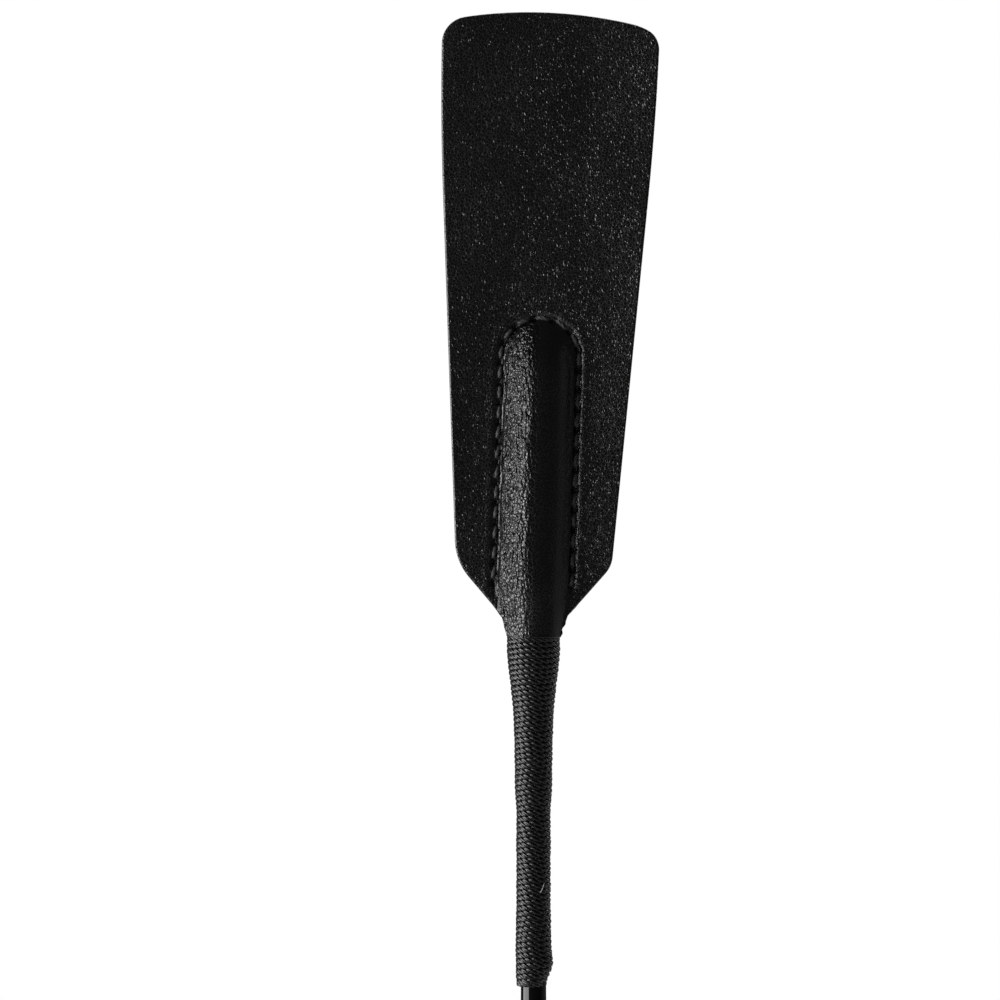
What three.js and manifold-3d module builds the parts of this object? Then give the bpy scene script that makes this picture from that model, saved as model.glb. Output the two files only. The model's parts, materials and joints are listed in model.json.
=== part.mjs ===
// Riding crop: a covered fibreglass rod with a leather keeper bound to its tip, a leather grip and a wrist
// strap. Millimetres. +Z runs up the shaft towards the keeper, whose front faces -Y. The origin is the centre
// of the grip.

import * as THREE from 'three';
import { mergeVertices } from 'three/addons/utils/BufferGeometryUtils.js';
import Module from 'manifold-3d';

const wasm = await Module();
wasm.setup();

// ---------------------------------------------------------------- driving dimensions

const GAP = 0.3; // clearance round pieces that lie loosely on each other
const TIGHT = 0.15; // clearance round pieces that are bound or glued together
const ROUND = 24; // facets round a slim piece
const ROUND_WIDE = 32; // facets round the grip and the cap

const GRIP_BACK = -79.7; // rear end of the grip's leather
const GRIP_FRONT = 86; // front end of the grip's leather
const GRIP_TAPER_START = 66; // the grip narrows to the shaft from here
const NECK_Z = 385; // where the keeper's leather goes under the tip whipping

const ROD_TIP_R = 1.75;
const ROD_GRIP_R = 3.3;
const ROD_BACK = -84.5;
const ROD_REACH = 46.5; // how far the rod goes into the keeper's pocket
const END_CAP_R = 3; // the plastic cup on the rod's end
const END_CAP_DEPTH = 9; // how far the cup reaches down the rod
const END_CAP_DOME = 3.7; // how far the cup stands above the rod's end
const COVER_TIP_R = 2.42;
const COVER_WHIP_R = 2.53; // at the lower end of the tip whipping
const COVER_GRIP_R = 4.3;
const COVER_TAPER = 25; // the cover reaches its tip radius this far above the whipping's lower end
const COVER_IN_GRIP = 8; // how far the cover goes into the grip

const LEAN = THREE.MathUtils.degToRad(1.85); // the keeper sits slightly askew on the rod
const LEATHER = 1.3; // thickness of each keeper leather
const PLY_GAP = 0.15; // each leather's distance from the keeper's middle plane
const KEEPER_NECK = 5.45; // half the flap's width at the neck
const KEEPER_THROAT = 2.9; // the neck's sides run straight up to here, then spread
const KEEPER_THROAT_R = 10;
const KEEPER_SHIFT = -0.45; // the flap's centre line, measured from the rod's
const KEEPER_LOW = 14.6; // height of the corners where the flap turns up into its sides
const KEEPER_HALF_LOW = 15.6;
const KEEPER_LOW_RIGHT_R = 6;
const KEEPER_LOW_LEFT_R = 12;
const KEEPER_HALF_SIDE = 21.47; // half the flap's width where its sides begin to straighten
const KEEPER_HALF_TOP = 21.77;
const KEEPER_SIDE = 102.6;
const KEEPER_SIDE_R = 560; // the sides' slight swell
const KEEPER_TOP_LEFT = 122.6;
const KEEPER_TOP_LEFT_R = 5.4;
const KEEPER_TOP_RIGHT = 120.7;
const KEEPER_TOP_RIGHT_R = 4.5;
const KEEPER_SHOULDER = 122.7; // where the top's fall to the right steepens
const KEEPER_SHOULDER_X = 17.1;
const KEEPER_SHOULDER_R = 14.4;
const KEEPER_CREST = 126.43; // where the tangents of the top arc meet
const KEEPER_CREST_X = -1.1;
const KEEPER_TOP_R = 87; // the top's own arc
const POCKET_R = 7.2; // outside of the moulded pocket
const POCKET_NECK_R = 5.2; // outside of the moulded pocket at the neck
const POCKET_RISE = 6.2; // outside of the flattened pocket, from the keeper's middle plane
const POCKET_SHIFT = -0.3; // the pocket's axis, measured from the rod's
const POCKET_END = 56; // centre of the pocket's round end
const NECK_HEIGHT = 10; // the pocket reaches its full width this far above the neck
const CAVITY_R = POCKET_R - LEATHER;
const CAVITY_RISE = POCKET_RISE - LEATHER;
const CAVITY_NECK_R = 3;
const TAIL_LENGTH = 32; // the leather's tails under the whipping
const TAIL_ROOT = 0.6; // the tails start this far above the neck
const FLEX_HEIGHT = 70; // the keeper's tongue bends here

const SEAM_SHIFT = -0.5;
const SEAM_HALF = 7.8; // the seam runs this far from its own centre line
const SEAM_LOW = 9.5;
const SEAM_THREAD = 0.7;
const SEAM_PROUD = 0.1; // the thread stands this far above the leather
const GROOVE_WIDTH = 1.2;
const GROOVE_DEPTH = 0.5;

const WHIP_LENGTH = 69.8;

const GRIP_R = 8.9; // the grip's radius at its centre, less its swell
const GRIP_SLOPE = 0.0085; // its taper towards the front
const GRIP_SWELL = 0.5;
const GRIP_SWELL_LENGTH = 160;
const GRIP_DRAW = 2.1; // how far the front of the leather is drawn in to the shaft
const HIDE = 1.2; // thickness of the grip's leather
const LACE_R = 0.3; // thread that laces the grip's leather
const LACE_LIFT = 0.2; // the thread's clearance over the leather
const LACE_PITCH = 7;
const LACE_REACH = 2; // to each side of the seam
const GRIP_WHIP_REACH = 5; // the grip's whipping covers this much of the bare shaft
const GRIP_WHIP_THICK = 0.95;

const CAP_SKIRT_TOP = -72;
const CAP_SEAT = -80;
const CAP_END = -98;
const CAP_R = 13;
const CAP_FACE_R = 11.5;
const CAP_WAIST_R = 11.6;
const CAP_SKIRT_R = 11.3;
const CAP_LIP_R = 10.7;
const PIN_Z = -93;
const PIN_R = 1.5;
const PIN_LENGTH = 22;
const MORTISE_HALF_X = 5.6;
const MORTISE_TOP = -88;
const MORTISE_HALF_TOP = 4; // the mortise flares downwards, so that the strap can swing
const MORTISE_HALF_MOUTH = 7.5;

const STRAP_WIDTH = 10;
const STRAP_THICK = 1.6;
const STRAP_CORE = 0.05; // half the space between the stem's two layers
const STRAP_STEM = 20; // from the pin to where the two legs part
const STRAP_DROP = 132; // from the pin to the lowest point of the strap's middle line
const STRAP_FULLNESS = 42.5; // pull of the loop's lower curve: the loop is about 40 wide
const STRAP_PARTING = 32; // pull of the loop's upper curve, where the legs start out side by side
const RIVET_BELOW_PIN = 14;
const RIVET_R = 1.4;
const RIVET_HEAD_R = 3.1;
const RIVET_HEAD = 1.1;

// ---------------------------------------------------------------- materials

const leather = new THREE.MeshStandardMaterial({ color: 0x151515, roughness: 0.5, metalness: 0 });
const gripLeather = new THREE.MeshStandardMaterial({ color: 0x141313, roughness: 0.6, metalness: 0 });
const thread = new THREE.MeshStandardMaterial({ color: 0x101010, roughness: 0.6, metalness: 0 });
const gloss = new THREE.MeshStandardMaterial({ color: 0x0b0b0b, roughness: 0.2, metalness: 0 });
const plastic = new THREE.MeshStandardMaterial({ color: 0x141414, roughness: 0.35, metalness: 0 });
const fibreglass = new THREE.MeshStandardMaterial({ color: 0xcfd0bd, roughness: 0.45, metalness: 0 });
const felt = new THREE.MeshStandardMaterial({ color: 0x3a3937, roughness: 0.95, metalness: 0 });
const wood = new THREE.MeshStandardMaterial({ color: 0xb08d5f, roughness: 0.8, metalness: 0 });
const nickel = new THREE.MeshStandardMaterial({ color: 0xc4c2bc, roughness: 0.3, metalness: 1 });

// ---------------------------------------------------------------- solids

function solidOf(geometry) {
  geometry.deleteAttribute('normal');
  geometry.deleteAttribute('uv');
  const merged = mergeVertices(geometry, 1e-4);
  const vertProperties = new Float32Array(merged.attributes.position.array);
  const triVerts = new Uint32Array(merged.index.array);
  return new wasm.Manifold(new wasm.Mesh({ numProp: 3, vertProperties, triVerts }));
}

function geometryOf(solid) {
  const { vertProperties, triVerts } = solid.getMesh();
  const geometry = new THREE.BufferGeometry();
  geometry.setAttribute('position', new THREE.BufferAttribute(vertProperties, 3));
  geometry.setIndex(new THREE.BufferAttribute(triVerts, 1));
  geometry.computeVertexNormals();
  return geometry;
}

// Turns a profile of [radius, z] points round the Z axis. It runs upwards on the outside.
function turned(profile, facets = ROUND) {
  const points = profile.map(([r, z]) => new THREE.Vector2(r, z));
  return new THREE.LatheGeometry(points, facets).rotateX(Math.PI / 2);
}

// A sleeve between an outer and an inner profile, both listed upwards.
function sleeve(outer, inner, facets = ROUND) {
  return turned([...outer, ...inner.toReversed(), outer[0]], facets);
}

// Extrudes an outline drawn in X and Z, from y = back towards -Y.
function slab(shape, back, thickness) {
  const settings = { depth: thickness, bevelEnabled: false, curveSegments: 8 };
  return new THREE.ExtrudeGeometry(shape, settings).rotateX(Math.PI / 2).translate(0, back, 0);
}

function block(x, y, z, cx = 0, cy = 0, cz = 0) {
  return new THREE.BoxGeometry(x, y, z).translate(cx, cy, cz);
}

function bar(radius, length, facets = ROUND) {
  return new THREE.CylinderGeometry(radius, radius, length, facets).rotateZ(Math.PI / 2);
}

// A polygon whose corners are rounded: each corner is [x, y, radius, steps].
function roundedShape(corners) {
  const points = [];
  corners.forEach(([x, y, radius, steps], i) => {
    const here = new THREE.Vector2(x, y);
    if (radius === 0) {
      points.push(here);
      return;
    }
    const before = new THREE.Vector2(...corners.at(i - 1).slice(0, 2)).sub(here).normalize();
    const after = new THREE.Vector2(...corners[(i + 1) % corners.length].slice(0, 2)).sub(here).normalize();
    const half = before.angleTo(after) / 2;
    const centre = before.clone().add(after).normalize().multiplyScalar(radius / Math.sin(half)).add(here);
    const start = before.multiplyScalar(radius / Math.tan(half)).add(here).sub(centre);
    const end = after.multiplyScalar(radius / Math.tan(half)).add(here).sub(centre);
    const turn = Math.atan2(start.cross(end), start.dot(end));
    for (let k = 0; k <= steps; k++) {
      points.push(start.clone().rotateAround(new THREE.Vector2(), (turn * k) / steps).add(centre));
    }
  });
  return new THREE.Shape(points);
}

const model = new THREE.Group();
const tip = new THREE.Group(); // the keeper's own frame, at the neck
tip.position.z = NECK_Z;
model.add(tip);

function place(group, name, geometry, material) {
  const mesh = new THREE.Mesh(geometry, material);
  mesh.name = name;
  group.add(mesh);
  return mesh;
}

// ---------------------------------------------------------------- rod and cover

function rod() {
  const top = NECK_Z + ROD_REACH;
  return turned([
    [0, ROD_BACK],
    [ROD_GRIP_R, ROD_BACK],
    [ROD_GRIP_R, GRIP_FRONT],
    [ROD_TIP_R, NECK_Z - WHIP_LENGTH],
    [ROD_TIP_R, top],
    [0, top],
  ]);
}

function shaftCover() {
  const low = GRIP_FRONT - COVER_IN_GRIP;
  const whipEnd = NECK_Z - WHIP_LENGTH;
  const top = NECK_Z - 2;
  const outer = [
    [COVER_GRIP_R, low],
    [COVER_WHIP_R, whipEnd],
    [COVER_TIP_R, whipEnd + COVER_TAPER],
    [COVER_TIP_R, top],
  ];
  const inner = [
    [ROD_GRIP_R + TIGHT, low],
    [ROD_GRIP_R + TIGHT, GRIP_FRONT],
    [ROD_TIP_R + TIGHT, whipEnd],
    [ROD_TIP_R + TIGHT, top],
  ];
  return sleeve(outer, inner);
}

// A plastic cup pushed over the rod's end, so that it can't work through the pocket.
function rodEndCap() {
  const low = ROD_REACH - END_CAP_DEPTH;
  const rim = END_CAP_R - GAP;
  const outer = [
    [rim, low],
    [END_CAP_R, low + 1],
    [END_CAP_R, ROD_REACH + 2],
    [END_CAP_R - 0.8, ROD_REACH + END_CAP_DOME - 0.4],
    [0, ROD_REACH + END_CAP_DOME],
  ];
  const bore = [
    [0, ROD_REACH + GAP],
    [ROD_TIP_R + TIGHT, ROD_REACH + GAP],
    [ROD_TIP_R + TIGHT, low],
    [rim, low],
  ];
  return turned([...outer.toReversed(), ...bore.toReversed()].toReversed());
}

// ---------------------------------------------------------------- keeper

// The flap's outline, seen from the front with the neck at the bottom. It runs a little way below the neck.
function keeperOutline() {
  const side = (sign, half, height, radius, steps) => [KEEPER_SHIFT + sign * half, height, radius, steps];
  return roundedShape([
    [-KEEPER_NECK, -1, 0],
    [KEEPER_NECK, -1, 0],
    [KEEPER_NECK, KEEPER_THROAT, KEEPER_THROAT_R, 4],
    side(1, KEEPER_HALF_LOW, KEEPER_LOW, KEEPER_LOW_RIGHT_R, 5),
    side(1, KEEPER_HALF_SIDE, KEEPER_SIDE, KEEPER_SIDE_R, 4),
    side(1, KEEPER_HALF_TOP, KEEPER_TOP_RIGHT, KEEPER_TOP_RIGHT_R, 6),
    [KEEPER_SHOULDER_X, KEEPER_SHOULDER, KEEPER_SHOULDER_R, 4],
    [KEEPER_CREST_X, KEEPER_CREST, KEEPER_TOP_R, 8],
    side(-1, KEEPER_HALF_TOP, KEEPER_TOP_LEFT, KEEPER_TOP_LEFT_R, 6),
    side(-1, KEEPER_HALF_SIDE, KEEPER_SIDE, KEEPER_SIDE_R, 4),
    side(-1, KEEPER_HALF_LOW, KEEPER_LOW, KEEPER_LOW_LEFT_R, 6),
    [-KEEPER_NECK, KEEPER_THROAT, KEEPER_THROAT_R, 4],
  ]);
}

// A round-ended form about the leaning pocket's axis, from the neck up, flattened to the given rise.
function pocketForm(radius, neckRadius, rise) {
  const profile = [
    [0, 0],
    [neckRadius, 0],
    [radius, NECK_HEIGHT],
    [radius, POCKET_END],
  ];
  const rings = 6;
  for (let k = 1; k < rings; k++) {
    const angle = (Math.PI / 2) * (k / rings);
    profile.push([radius * Math.cos(angle), POCKET_END + radius * Math.sin(angle)]);
  }
  profile.push([0, POCKET_END + radius]);
  return turned(profile)
    .scale(1, rise / radius, 1)
    .translate(POCKET_SHIFT, 0, 0)
    .rotateY(LEAN);
}

// The two leathers' tails, thinned towards their ends, as one sleeve round the shaft.
const TAIL_OUTSIDE = [
  [2.85, -TAIL_LENGTH],
  [2.95, -20.6],
  [3.1, -16.6],
  [3.25, -12.6],
  [3.65, -8.6],
  [4.05, -4],
  [4.2, 0],
];

function tails() {
  const bore = COVER_TIP_R + TIGHT;
  const outer = [...TAIL_OUTSIDE, [TAIL_OUTSIDE.at(-1)[0] + 0.1, TAIL_ROOT]];
  const inner = [
    [bore, -TAIL_LENGTH],
    [bore, TAIL_ROOT],
  ];
  return sleeve(outer, inner);
}

// The seam's path round the pocket, as a band of the given width.
function seamBand(width) {
  const outerR = SEAM_HALF + width / 2;
  const innerR = SEAM_HALF - width / 2;
  const shape = new THREE.Shape();
  shape.moveTo(innerR, SEAM_LOW);
  shape.lineTo(outerR, SEAM_LOW);
  shape.absarc(0, POCKET_END, outerR, 0, Math.PI, false);
  shape.lineTo(-outerR, SEAM_LOW);
  shape.lineTo(-innerR, SEAM_LOW);
  shape.absarc(0, POCKET_END, innerR, Math.PI, 0, true);
  return shape;
}

function seamSolid(width, outside, depth) {
  return slab(seamBand(width), outside + depth, depth).translate(SEAM_SHIFT, 0, 0).rotateY(LEAN);
}

// The blocks that trim the leathers are all larger than what they trim.
const TRIM_WIDTH = 60;
const TRIM_DEPTH = 20;
const TRIM_HEIGHT = 80;

// A solid drawn in the keeper's upright frame and set leaning on the rod.
function leaning(geometry) {
  return solidOf(geometry.rotateY(LEAN));
}

function flap(side) {
  const back = side < 0 ? -PLY_GAP : PLY_GAP + LEATHER;
  return leaning(slab(keeperOutline(), back, LEATHER));
}

// One moulded leather with its half of the pocket and its tail. side is -1 for the front and 1 for the back.
function keeperLeather(side) {
  const face = PLY_GAP + LEATHER;
  const top = FLEX_HEIGHT - face - GAP;
  const half = solidOf(block(TRIM_WIDTH, TRIM_DEPTH, 140, 0, side * (TRIM_DEPTH / 2 + PLY_GAP), 20));
  const low = leaning(block(TRIM_WIDTH, TRIM_DEPTH, top - GAP, 0, 0, (top + GAP) / 2));
  const aboveNeck = solidOf(block(TRIM_WIDTH, TRIM_DEPTH, TRIM_HEIGHT, 0, 0, GAP + TRIM_HEIGHT / 2));
  const pocket = solidOf(pocketForm(POCKET_R, POCKET_NECK_R, POCKET_RISE));
  const bulge = pocket.intersect(aboveNeck).intersect(half);
  const tail = solidOf(tails()).intersect(half);
  const cavity = solidOf(pocketForm(CAVITY_R, CAVITY_NECK_R, CAVITY_RISE));
  const coverR = COVER_TIP_R + TIGHT;
  const bore = solidOf(turned([[0, -1], [coverR, -1], [coverR, 1.5], [0, 1.5]]));
  const outside = side < 0 ? -face - 1 : face - GROOVE_DEPTH;
  const groove = solidOf(seamSolid(GROOVE_WIDTH, outside, GROOVE_DEPTH + 1));
  return flap(side).intersect(low).add(bulge).add(tail).subtract(cavity).subtract(bore).subtract(groove);
}

// The free end of a leather, rounded at its root about the line it bends on.
function keeperTip(side) {
  const above = leaning(block(TRIM_WIDTH, TRIM_DEPTH, TRIM_HEIGHT, 0, 0, FLEX_HEIGHT + TRIM_HEIGHT / 2));
  const root = leaning(bar(PLY_GAP + LEATHER, TRIM_WIDTH, ROUND_WIDE).translate(0, 0, FLEX_HEIGHT));
  return flap(side).intersect(above.add(root));
}

function seamThread(side) {
  const face = PLY_GAP + LEATHER;
  const sunk = GROOVE_DEPTH - TIGHT;
  const outside = side < 0 ? -face - SEAM_PROUD : face - sunk;
  return seamSolid(SEAM_THREAD, outside, sunk + SEAM_PROUD);
}

// Felt wound round the rod's end, which fills the pocket out to its width.
function pocketPadding() {
  const outside = solidOf(pocketForm(CAVITY_R - GAP, CAVITY_NECK_R - 0.1, CAVITY_RISE - GAP));
  const aboveNeck = solidOf(block(TRIM_WIDTH, TRIM_DEPTH, TRIM_HEIGHT, 0, 0, 1 + TRIM_HEIGHT / 2));
  const rodRoom = ROD_TIP_R + GAP;
  const capRoom = END_CAP_R + GAP;
  const capLow = ROD_REACH - END_CAP_DEPTH - GAP;
  const capTop = ROD_REACH + END_CAP_DOME + GAP;
  const hole = turned([
    [0, 0],
    [rodRoom, 0],
    [rodRoom, capLow],
    [capRoom, capLow],
    [capRoom, capTop],
    [0, capTop],
  ]);
  return outside.intersect(aboveNeck).subtract(solidOf(hole));
}

// Outside of the tip whipping: it swells over its knot, and over the tails towards the neck.
const WHIP_OUTSIDE = [
  [3.35, -WHIP_LENGTH],
  [3.72, -65.2],
  [3.56, -62.5],
  [3.43, -54],
  [3.43, -34],
  [3.7, -31],
  [3.86, -20.6],
  [4.1, -14],
  [4.55, -10],
  [5.15, -5],
  [5.33, -3],
  [5.3, 0],
];

// The thread wound over the tails, then over the bare shaft.
function tipWhipping() {
  const inner = [
    [COVER_WHIP_R + TIGHT, -WHIP_LENGTH],
    [COVER_TIP_R + TIGHT, -WHIP_LENGTH + COVER_TAPER],
    [COVER_TIP_R + TIGHT, -TAIL_LENGTH - GAP],
    ...TAIL_OUTSIDE.map(([r, z], i) => [r + TIGHT, i === 0 ? z - GAP : z]),
  ];
  return sleeve(WHIP_OUTSIDE, inner);
}

// ---------------------------------------------------------------- grip

// Outside of the grip's leather: widest behind the middle, and drawn in to the shaft at the front.
function gripRadius(z) {
  const swell = GRIP_R - GRIP_SLOPE * z + GRIP_SWELL * Math.cos((Math.PI * z) / GRIP_SWELL_LENGTH);
  const drawn = Math.max(0, z - GRIP_TAPER_START) / (GRIP_FRONT - GRIP_TAPER_START);
  return swell - GRIP_DRAW * drawn;
}

function gripProfile(inset) {
  const steps = 8;
  const profile = [];
  for (let k = 0; k <= steps; k++) {
    const z = GRIP_BACK + ((GRIP_TAPER_START - GRIP_BACK) * k) / steps;
    profile.push([gripRadius(z) - inset, z]);
  }
  profile.push([gripRadius(GRIP_FRONT) - inset, GRIP_FRONT]);
  return profile;
}

function gripCore() {
  const inner = [
    [ROD_GRIP_R + GAP, GRIP_BACK],
    [ROD_GRIP_R + GAP, GRIP_FRONT - COVER_IN_GRIP - GAP],
    [COVER_GRIP_R + GAP, GRIP_FRONT - COVER_IN_GRIP - GAP],
    [COVER_GRIP_R + GAP, GRIP_FRONT],
  ];
  return sleeve(gripProfile(HIDE + TIGHT), inner, ROUND_WIDE);
}

// One hide wrapped round the core, its edges meeting in a butt seam at the back.
function gripHide() {
  const tube = solidOf(sleeve(gripProfile(0), gripProfile(HIDE), ROUND_WIDE));
  const seam = solidOf(block(GAP, 12, 200, 0, 10, 0));
  return tube.subtract(seam);
}

class ZigzagCurve extends THREE.Curve {
  constructor(from, to, pitch, reach) {
    super();
    Object.assign(this, { from, to, pitch, reach });
  }

  getPoint(t, target = new THREE.Vector3()) {
    const z = this.from + (this.to - this.from) * t;
    const across = this.reach * Math.sin((2 * Math.PI * (z - this.from)) / this.pitch);
    const r = gripRadius(z) + LACE_R + LACE_LIFT;
    return target.set(r * Math.sin(across / r), r * Math.cos(across / r), z);
  }

  getPointAt(t, target) {
    return this.getPoint(t, target);
  }
}

// The thread that laces the hide's edges together, side to side up the seam.
function gripSeamThread() {
  const path = new ZigzagCurve(CAP_SKIRT_TOP + 2, GRIP_TAPER_START - 2, LACE_PITCH, LACE_REACH);
  const section = new THREE.Shape();
  section.absarc(0, 0, LACE_R, 0, 2 * Math.PI, false);
  const periods = Math.round((path.to - path.from) / path.pitch);
  const settings = { extrudePath: path, steps: periods * 8, curveSegments: 2, bevelEnabled: false };
  return new THREE.ExtrudeGeometry(section, settings);
}

// Thread bound over the drawn-in front of the hide, ending on the shaft.
function gripWhipping() {
  const front = GRIP_FRONT + GRIP_WHIP_REACH;
  const low = GRIP_TAPER_START;
  const outer = [
    [gripRadius(low) + GRIP_WHIP_THICK - 0.1, low],
    [gripRadius(low) + GRIP_WHIP_THICK, low + 1],
    [gripRadius(GRIP_FRONT) + GRIP_WHIP_THICK, GRIP_FRONT],
    [COVER_GRIP_R + 1.2, GRIP_FRONT + 1.4],
    [COVER_GRIP_R + 1, front],
  ];
  const inner = [
    [gripRadius(low) + TIGHT, low],
    [gripRadius(GRIP_FRONT) + TIGHT, GRIP_FRONT + GAP],
    [COVER_GRIP_R + TIGHT, GRIP_FRONT + GAP],
    [COVER_GRIP_R + TIGHT, front],
  ];
  return sleeve(outer, inner, ROUND_WIDE);
}

// ---------------------------------------------------------------- butt cap and wrist strap

function buttCap() {
  const body = solidOf(
    turned(
      [
        [0, CAP_END],
        [CAP_FACE_R, CAP_END],
        [CAP_R - 0.5, CAP_END + 1],
        [CAP_R, CAP_END + 2.6],
        [CAP_R, CAP_END + 8],
        [CAP_R - 0.5, CAP_END + 11],
        [CAP_WAIST_R, CAP_END + 16],
        [CAP_SKIRT_R, CAP_SKIRT_TOP - 0.8],
        [CAP_LIP_R, CAP_SKIRT_TOP],
        [0, CAP_SKIRT_TOP],
      ],
      ROUND_WIDE,
    ),
  );
  const hideRoom = gripRadius(GRIP_BACK) + GAP;
  const socket = solidOf(
    turned(
      [
        [0, ROD_BACK - GAP],
        [ROD_GRIP_R + TIGHT, ROD_BACK - GAP],
        [ROD_GRIP_R + TIGHT, CAP_SEAT],
        [hideRoom, CAP_SEAT],
        [hideRoom, CAP_SKIRT_TOP + 1],
        [0, CAP_SKIRT_TOP + 1],
      ],
      ROUND_WIDE,
    ),
  );
  const mortise = new THREE.Shape();
  mortise.moveTo(-MORTISE_HALF_TOP, MORTISE_TOP);
  mortise.lineTo(-MORTISE_HALF_MOUTH, CAP_END - 1);
  mortise.lineTo(MORTISE_HALF_MOUTH, CAP_END - 1);
  mortise.lineTo(MORTISE_HALF_TOP, MORTISE_TOP);
  const slot = solidOf(slab(mortise, MORTISE_HALF_X, 2 * MORTISE_HALF_X).rotateZ(Math.PI / 2));
  const pinHole = solidOf(bar(PIN_R + TIGHT, 2 * CAP_R + 2).translate(0, 0, PIN_Z));
  return body.subtract(socket).subtract(slot).subtract(pinHole);
}

// The strap's middle line, from where its legs part down to its lowest point, as [y, z] points.
function strapLeg() {
  const top = new THREE.Vector2(STRAP_THICK / 2 + STRAP_CORE, PIN_Z - STRAP_STEM);
  const bottom = new THREE.Vector2(0, PIN_Z - STRAP_DROP);
  const curve = new THREE.CubicBezierCurve(
    top,
    new THREE.Vector2(1, PIN_Z - STRAP_STEM - STRAP_PARTING),
    new THREE.Vector2(STRAP_FULLNESS, PIN_Z - STRAP_DROP),
    bottom,
  );
  const steps = 16;
  return curve.getSpacedPoints(steps).map((point, i) => {
    const along = curve.getTangentAt(i / steps);
    return { point, out: new THREE.Vector2(-along.y, along.x) };
  });
}

// The loop's outline at a distance from the strap's middle line.
function strapOutline(offset) {
  const leg = strapLeg().map(({ point, out }) => point.clone().addScaledVector(out, offset));
  const bottom = leg.pop();
  const mirrored = leg.map((p) => new THREE.Vector2(-p.x, p.y)).reverse();
  return new THREE.Shape([...leg, new THREE.Vector2(0, bottom.y), ...mirrored]);
}

function acrossStrap(shape, width = STRAP_WIDTH) {
  return slab(shape, width / 2, width).rotateZ(Math.PI / 2);
}

// One strap folded over the pin and riveted to itself, open below as a loop for the hand.
function wristStrap() {
  const half = STRAP_THICK + STRAP_CORE;
  const loop = solidOf(acrossStrap(strapOutline(STRAP_THICK / 2)));
  const hand = solidOf(acrossStrap(strapOutline(-STRAP_THICK / 2), STRAP_WIDTH + 2));
  const stem = solidOf(block(STRAP_WIDTH, 2 * half, STRAP_STEM + 1, 0, 0, PIN_Z - (STRAP_STEM + 1) / 2));
  const eye = solidOf(bar(PIN_R + GAP + STRAP_THICK, STRAP_WIDTH).translate(0, 0, PIN_Z));
  const pinHole = solidOf(bar(PIN_R + GAP, STRAP_WIDTH + 2).translate(0, 0, PIN_Z));
  const rivetHole = solidOf(acrossStem(RIVET_R + TIGHT, 8));
  return loop.subtract(hand).add(stem).add(eye).subtract(pinHole).subtract(rivetHole);
}

// A round bar through the stem at the rivet.
function acrossStem(radius, length, y = 0) {
  return new THREE.CylinderGeometry(radius, radius, length, ROUND).translate(0, y, PIN_Z - RIVET_BELOW_PIN);
}

function rivetDisc(side, thickness) {
  const y = side * (STRAP_THICK + STRAP_CORE + TIGHT + thickness / 2);
  return acrossStem(RIVET_HEAD_R, thickness, y);
}

function rivet() {
  const end = STRAP_THICK + 0.5;
  return solidOf(rivetDisc(-1, RIVET_HEAD)).add(solidOf(acrossStem(RIVET_R, 2 * end)));
}

function rivetCap() {
  const bore = acrossStem(RIVET_R + TIGHT, 2, STRAP_THICK - 0.1);
  return solidOf(rivetDisc(1, RIVET_HEAD)).subtract(solidOf(bore));
}

// ---------------------------------------------------------------- the crop

place(model, 'rod', rod(), fibreglass);
place(model, 'shaft_cover', shaftCover(), gloss);
place(tip, 'rod_end_cap', rodEndCap(), plastic);
place(tip, 'pocket_padding', geometryOf(pocketPadding()), felt);
place(tip, 'keeper_front', geometryOf(keeperLeather(-1)), leather);
place(tip, 'keeper_back', geometryOf(keeperLeather(1)), leather);
place(tip, 'keeper_front_tip', geometryOf(keeperTip(-1)), leather);
place(tip, 'keeper_back_tip', geometryOf(keeperTip(1)), leather);
place(tip, 'keeper_seam_front', seamThread(-1), thread);
place(tip, 'keeper_seam_back', seamThread(1), thread);
place(tip, 'tip_whipping', tipWhipping(), thread);
place(model, 'grip_core', gripCore(), wood);
place(model, 'grip_hide', geometryOf(gripHide()), gripLeather);
place(model, 'grip_seam', gripSeamThread(), thread);
place(model, 'grip_whipping', gripWhipping(), thread);
place(model, 'butt_cap', geometryOf(buttCap()), plastic);
place(model, 'cap_pin', bar(PIN_R, PIN_LENGTH).translate(0, 0, PIN_Z), nickel);
place(model, 'wrist_strap', geometryOf(wristStrap()), gripLeather);
place(model, 'strap_rivet', geometryOf(rivet()), nickel);
place(model, 'strap_rivet_cap', geometryOf(rivetCap()), nickel);

export default model;
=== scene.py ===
"""A riding crop seen close at its leather keeper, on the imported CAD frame.

The frame is in metres, with +Z up the shaft and the keeper's front towards -Y.
"""

import json
import math

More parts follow.
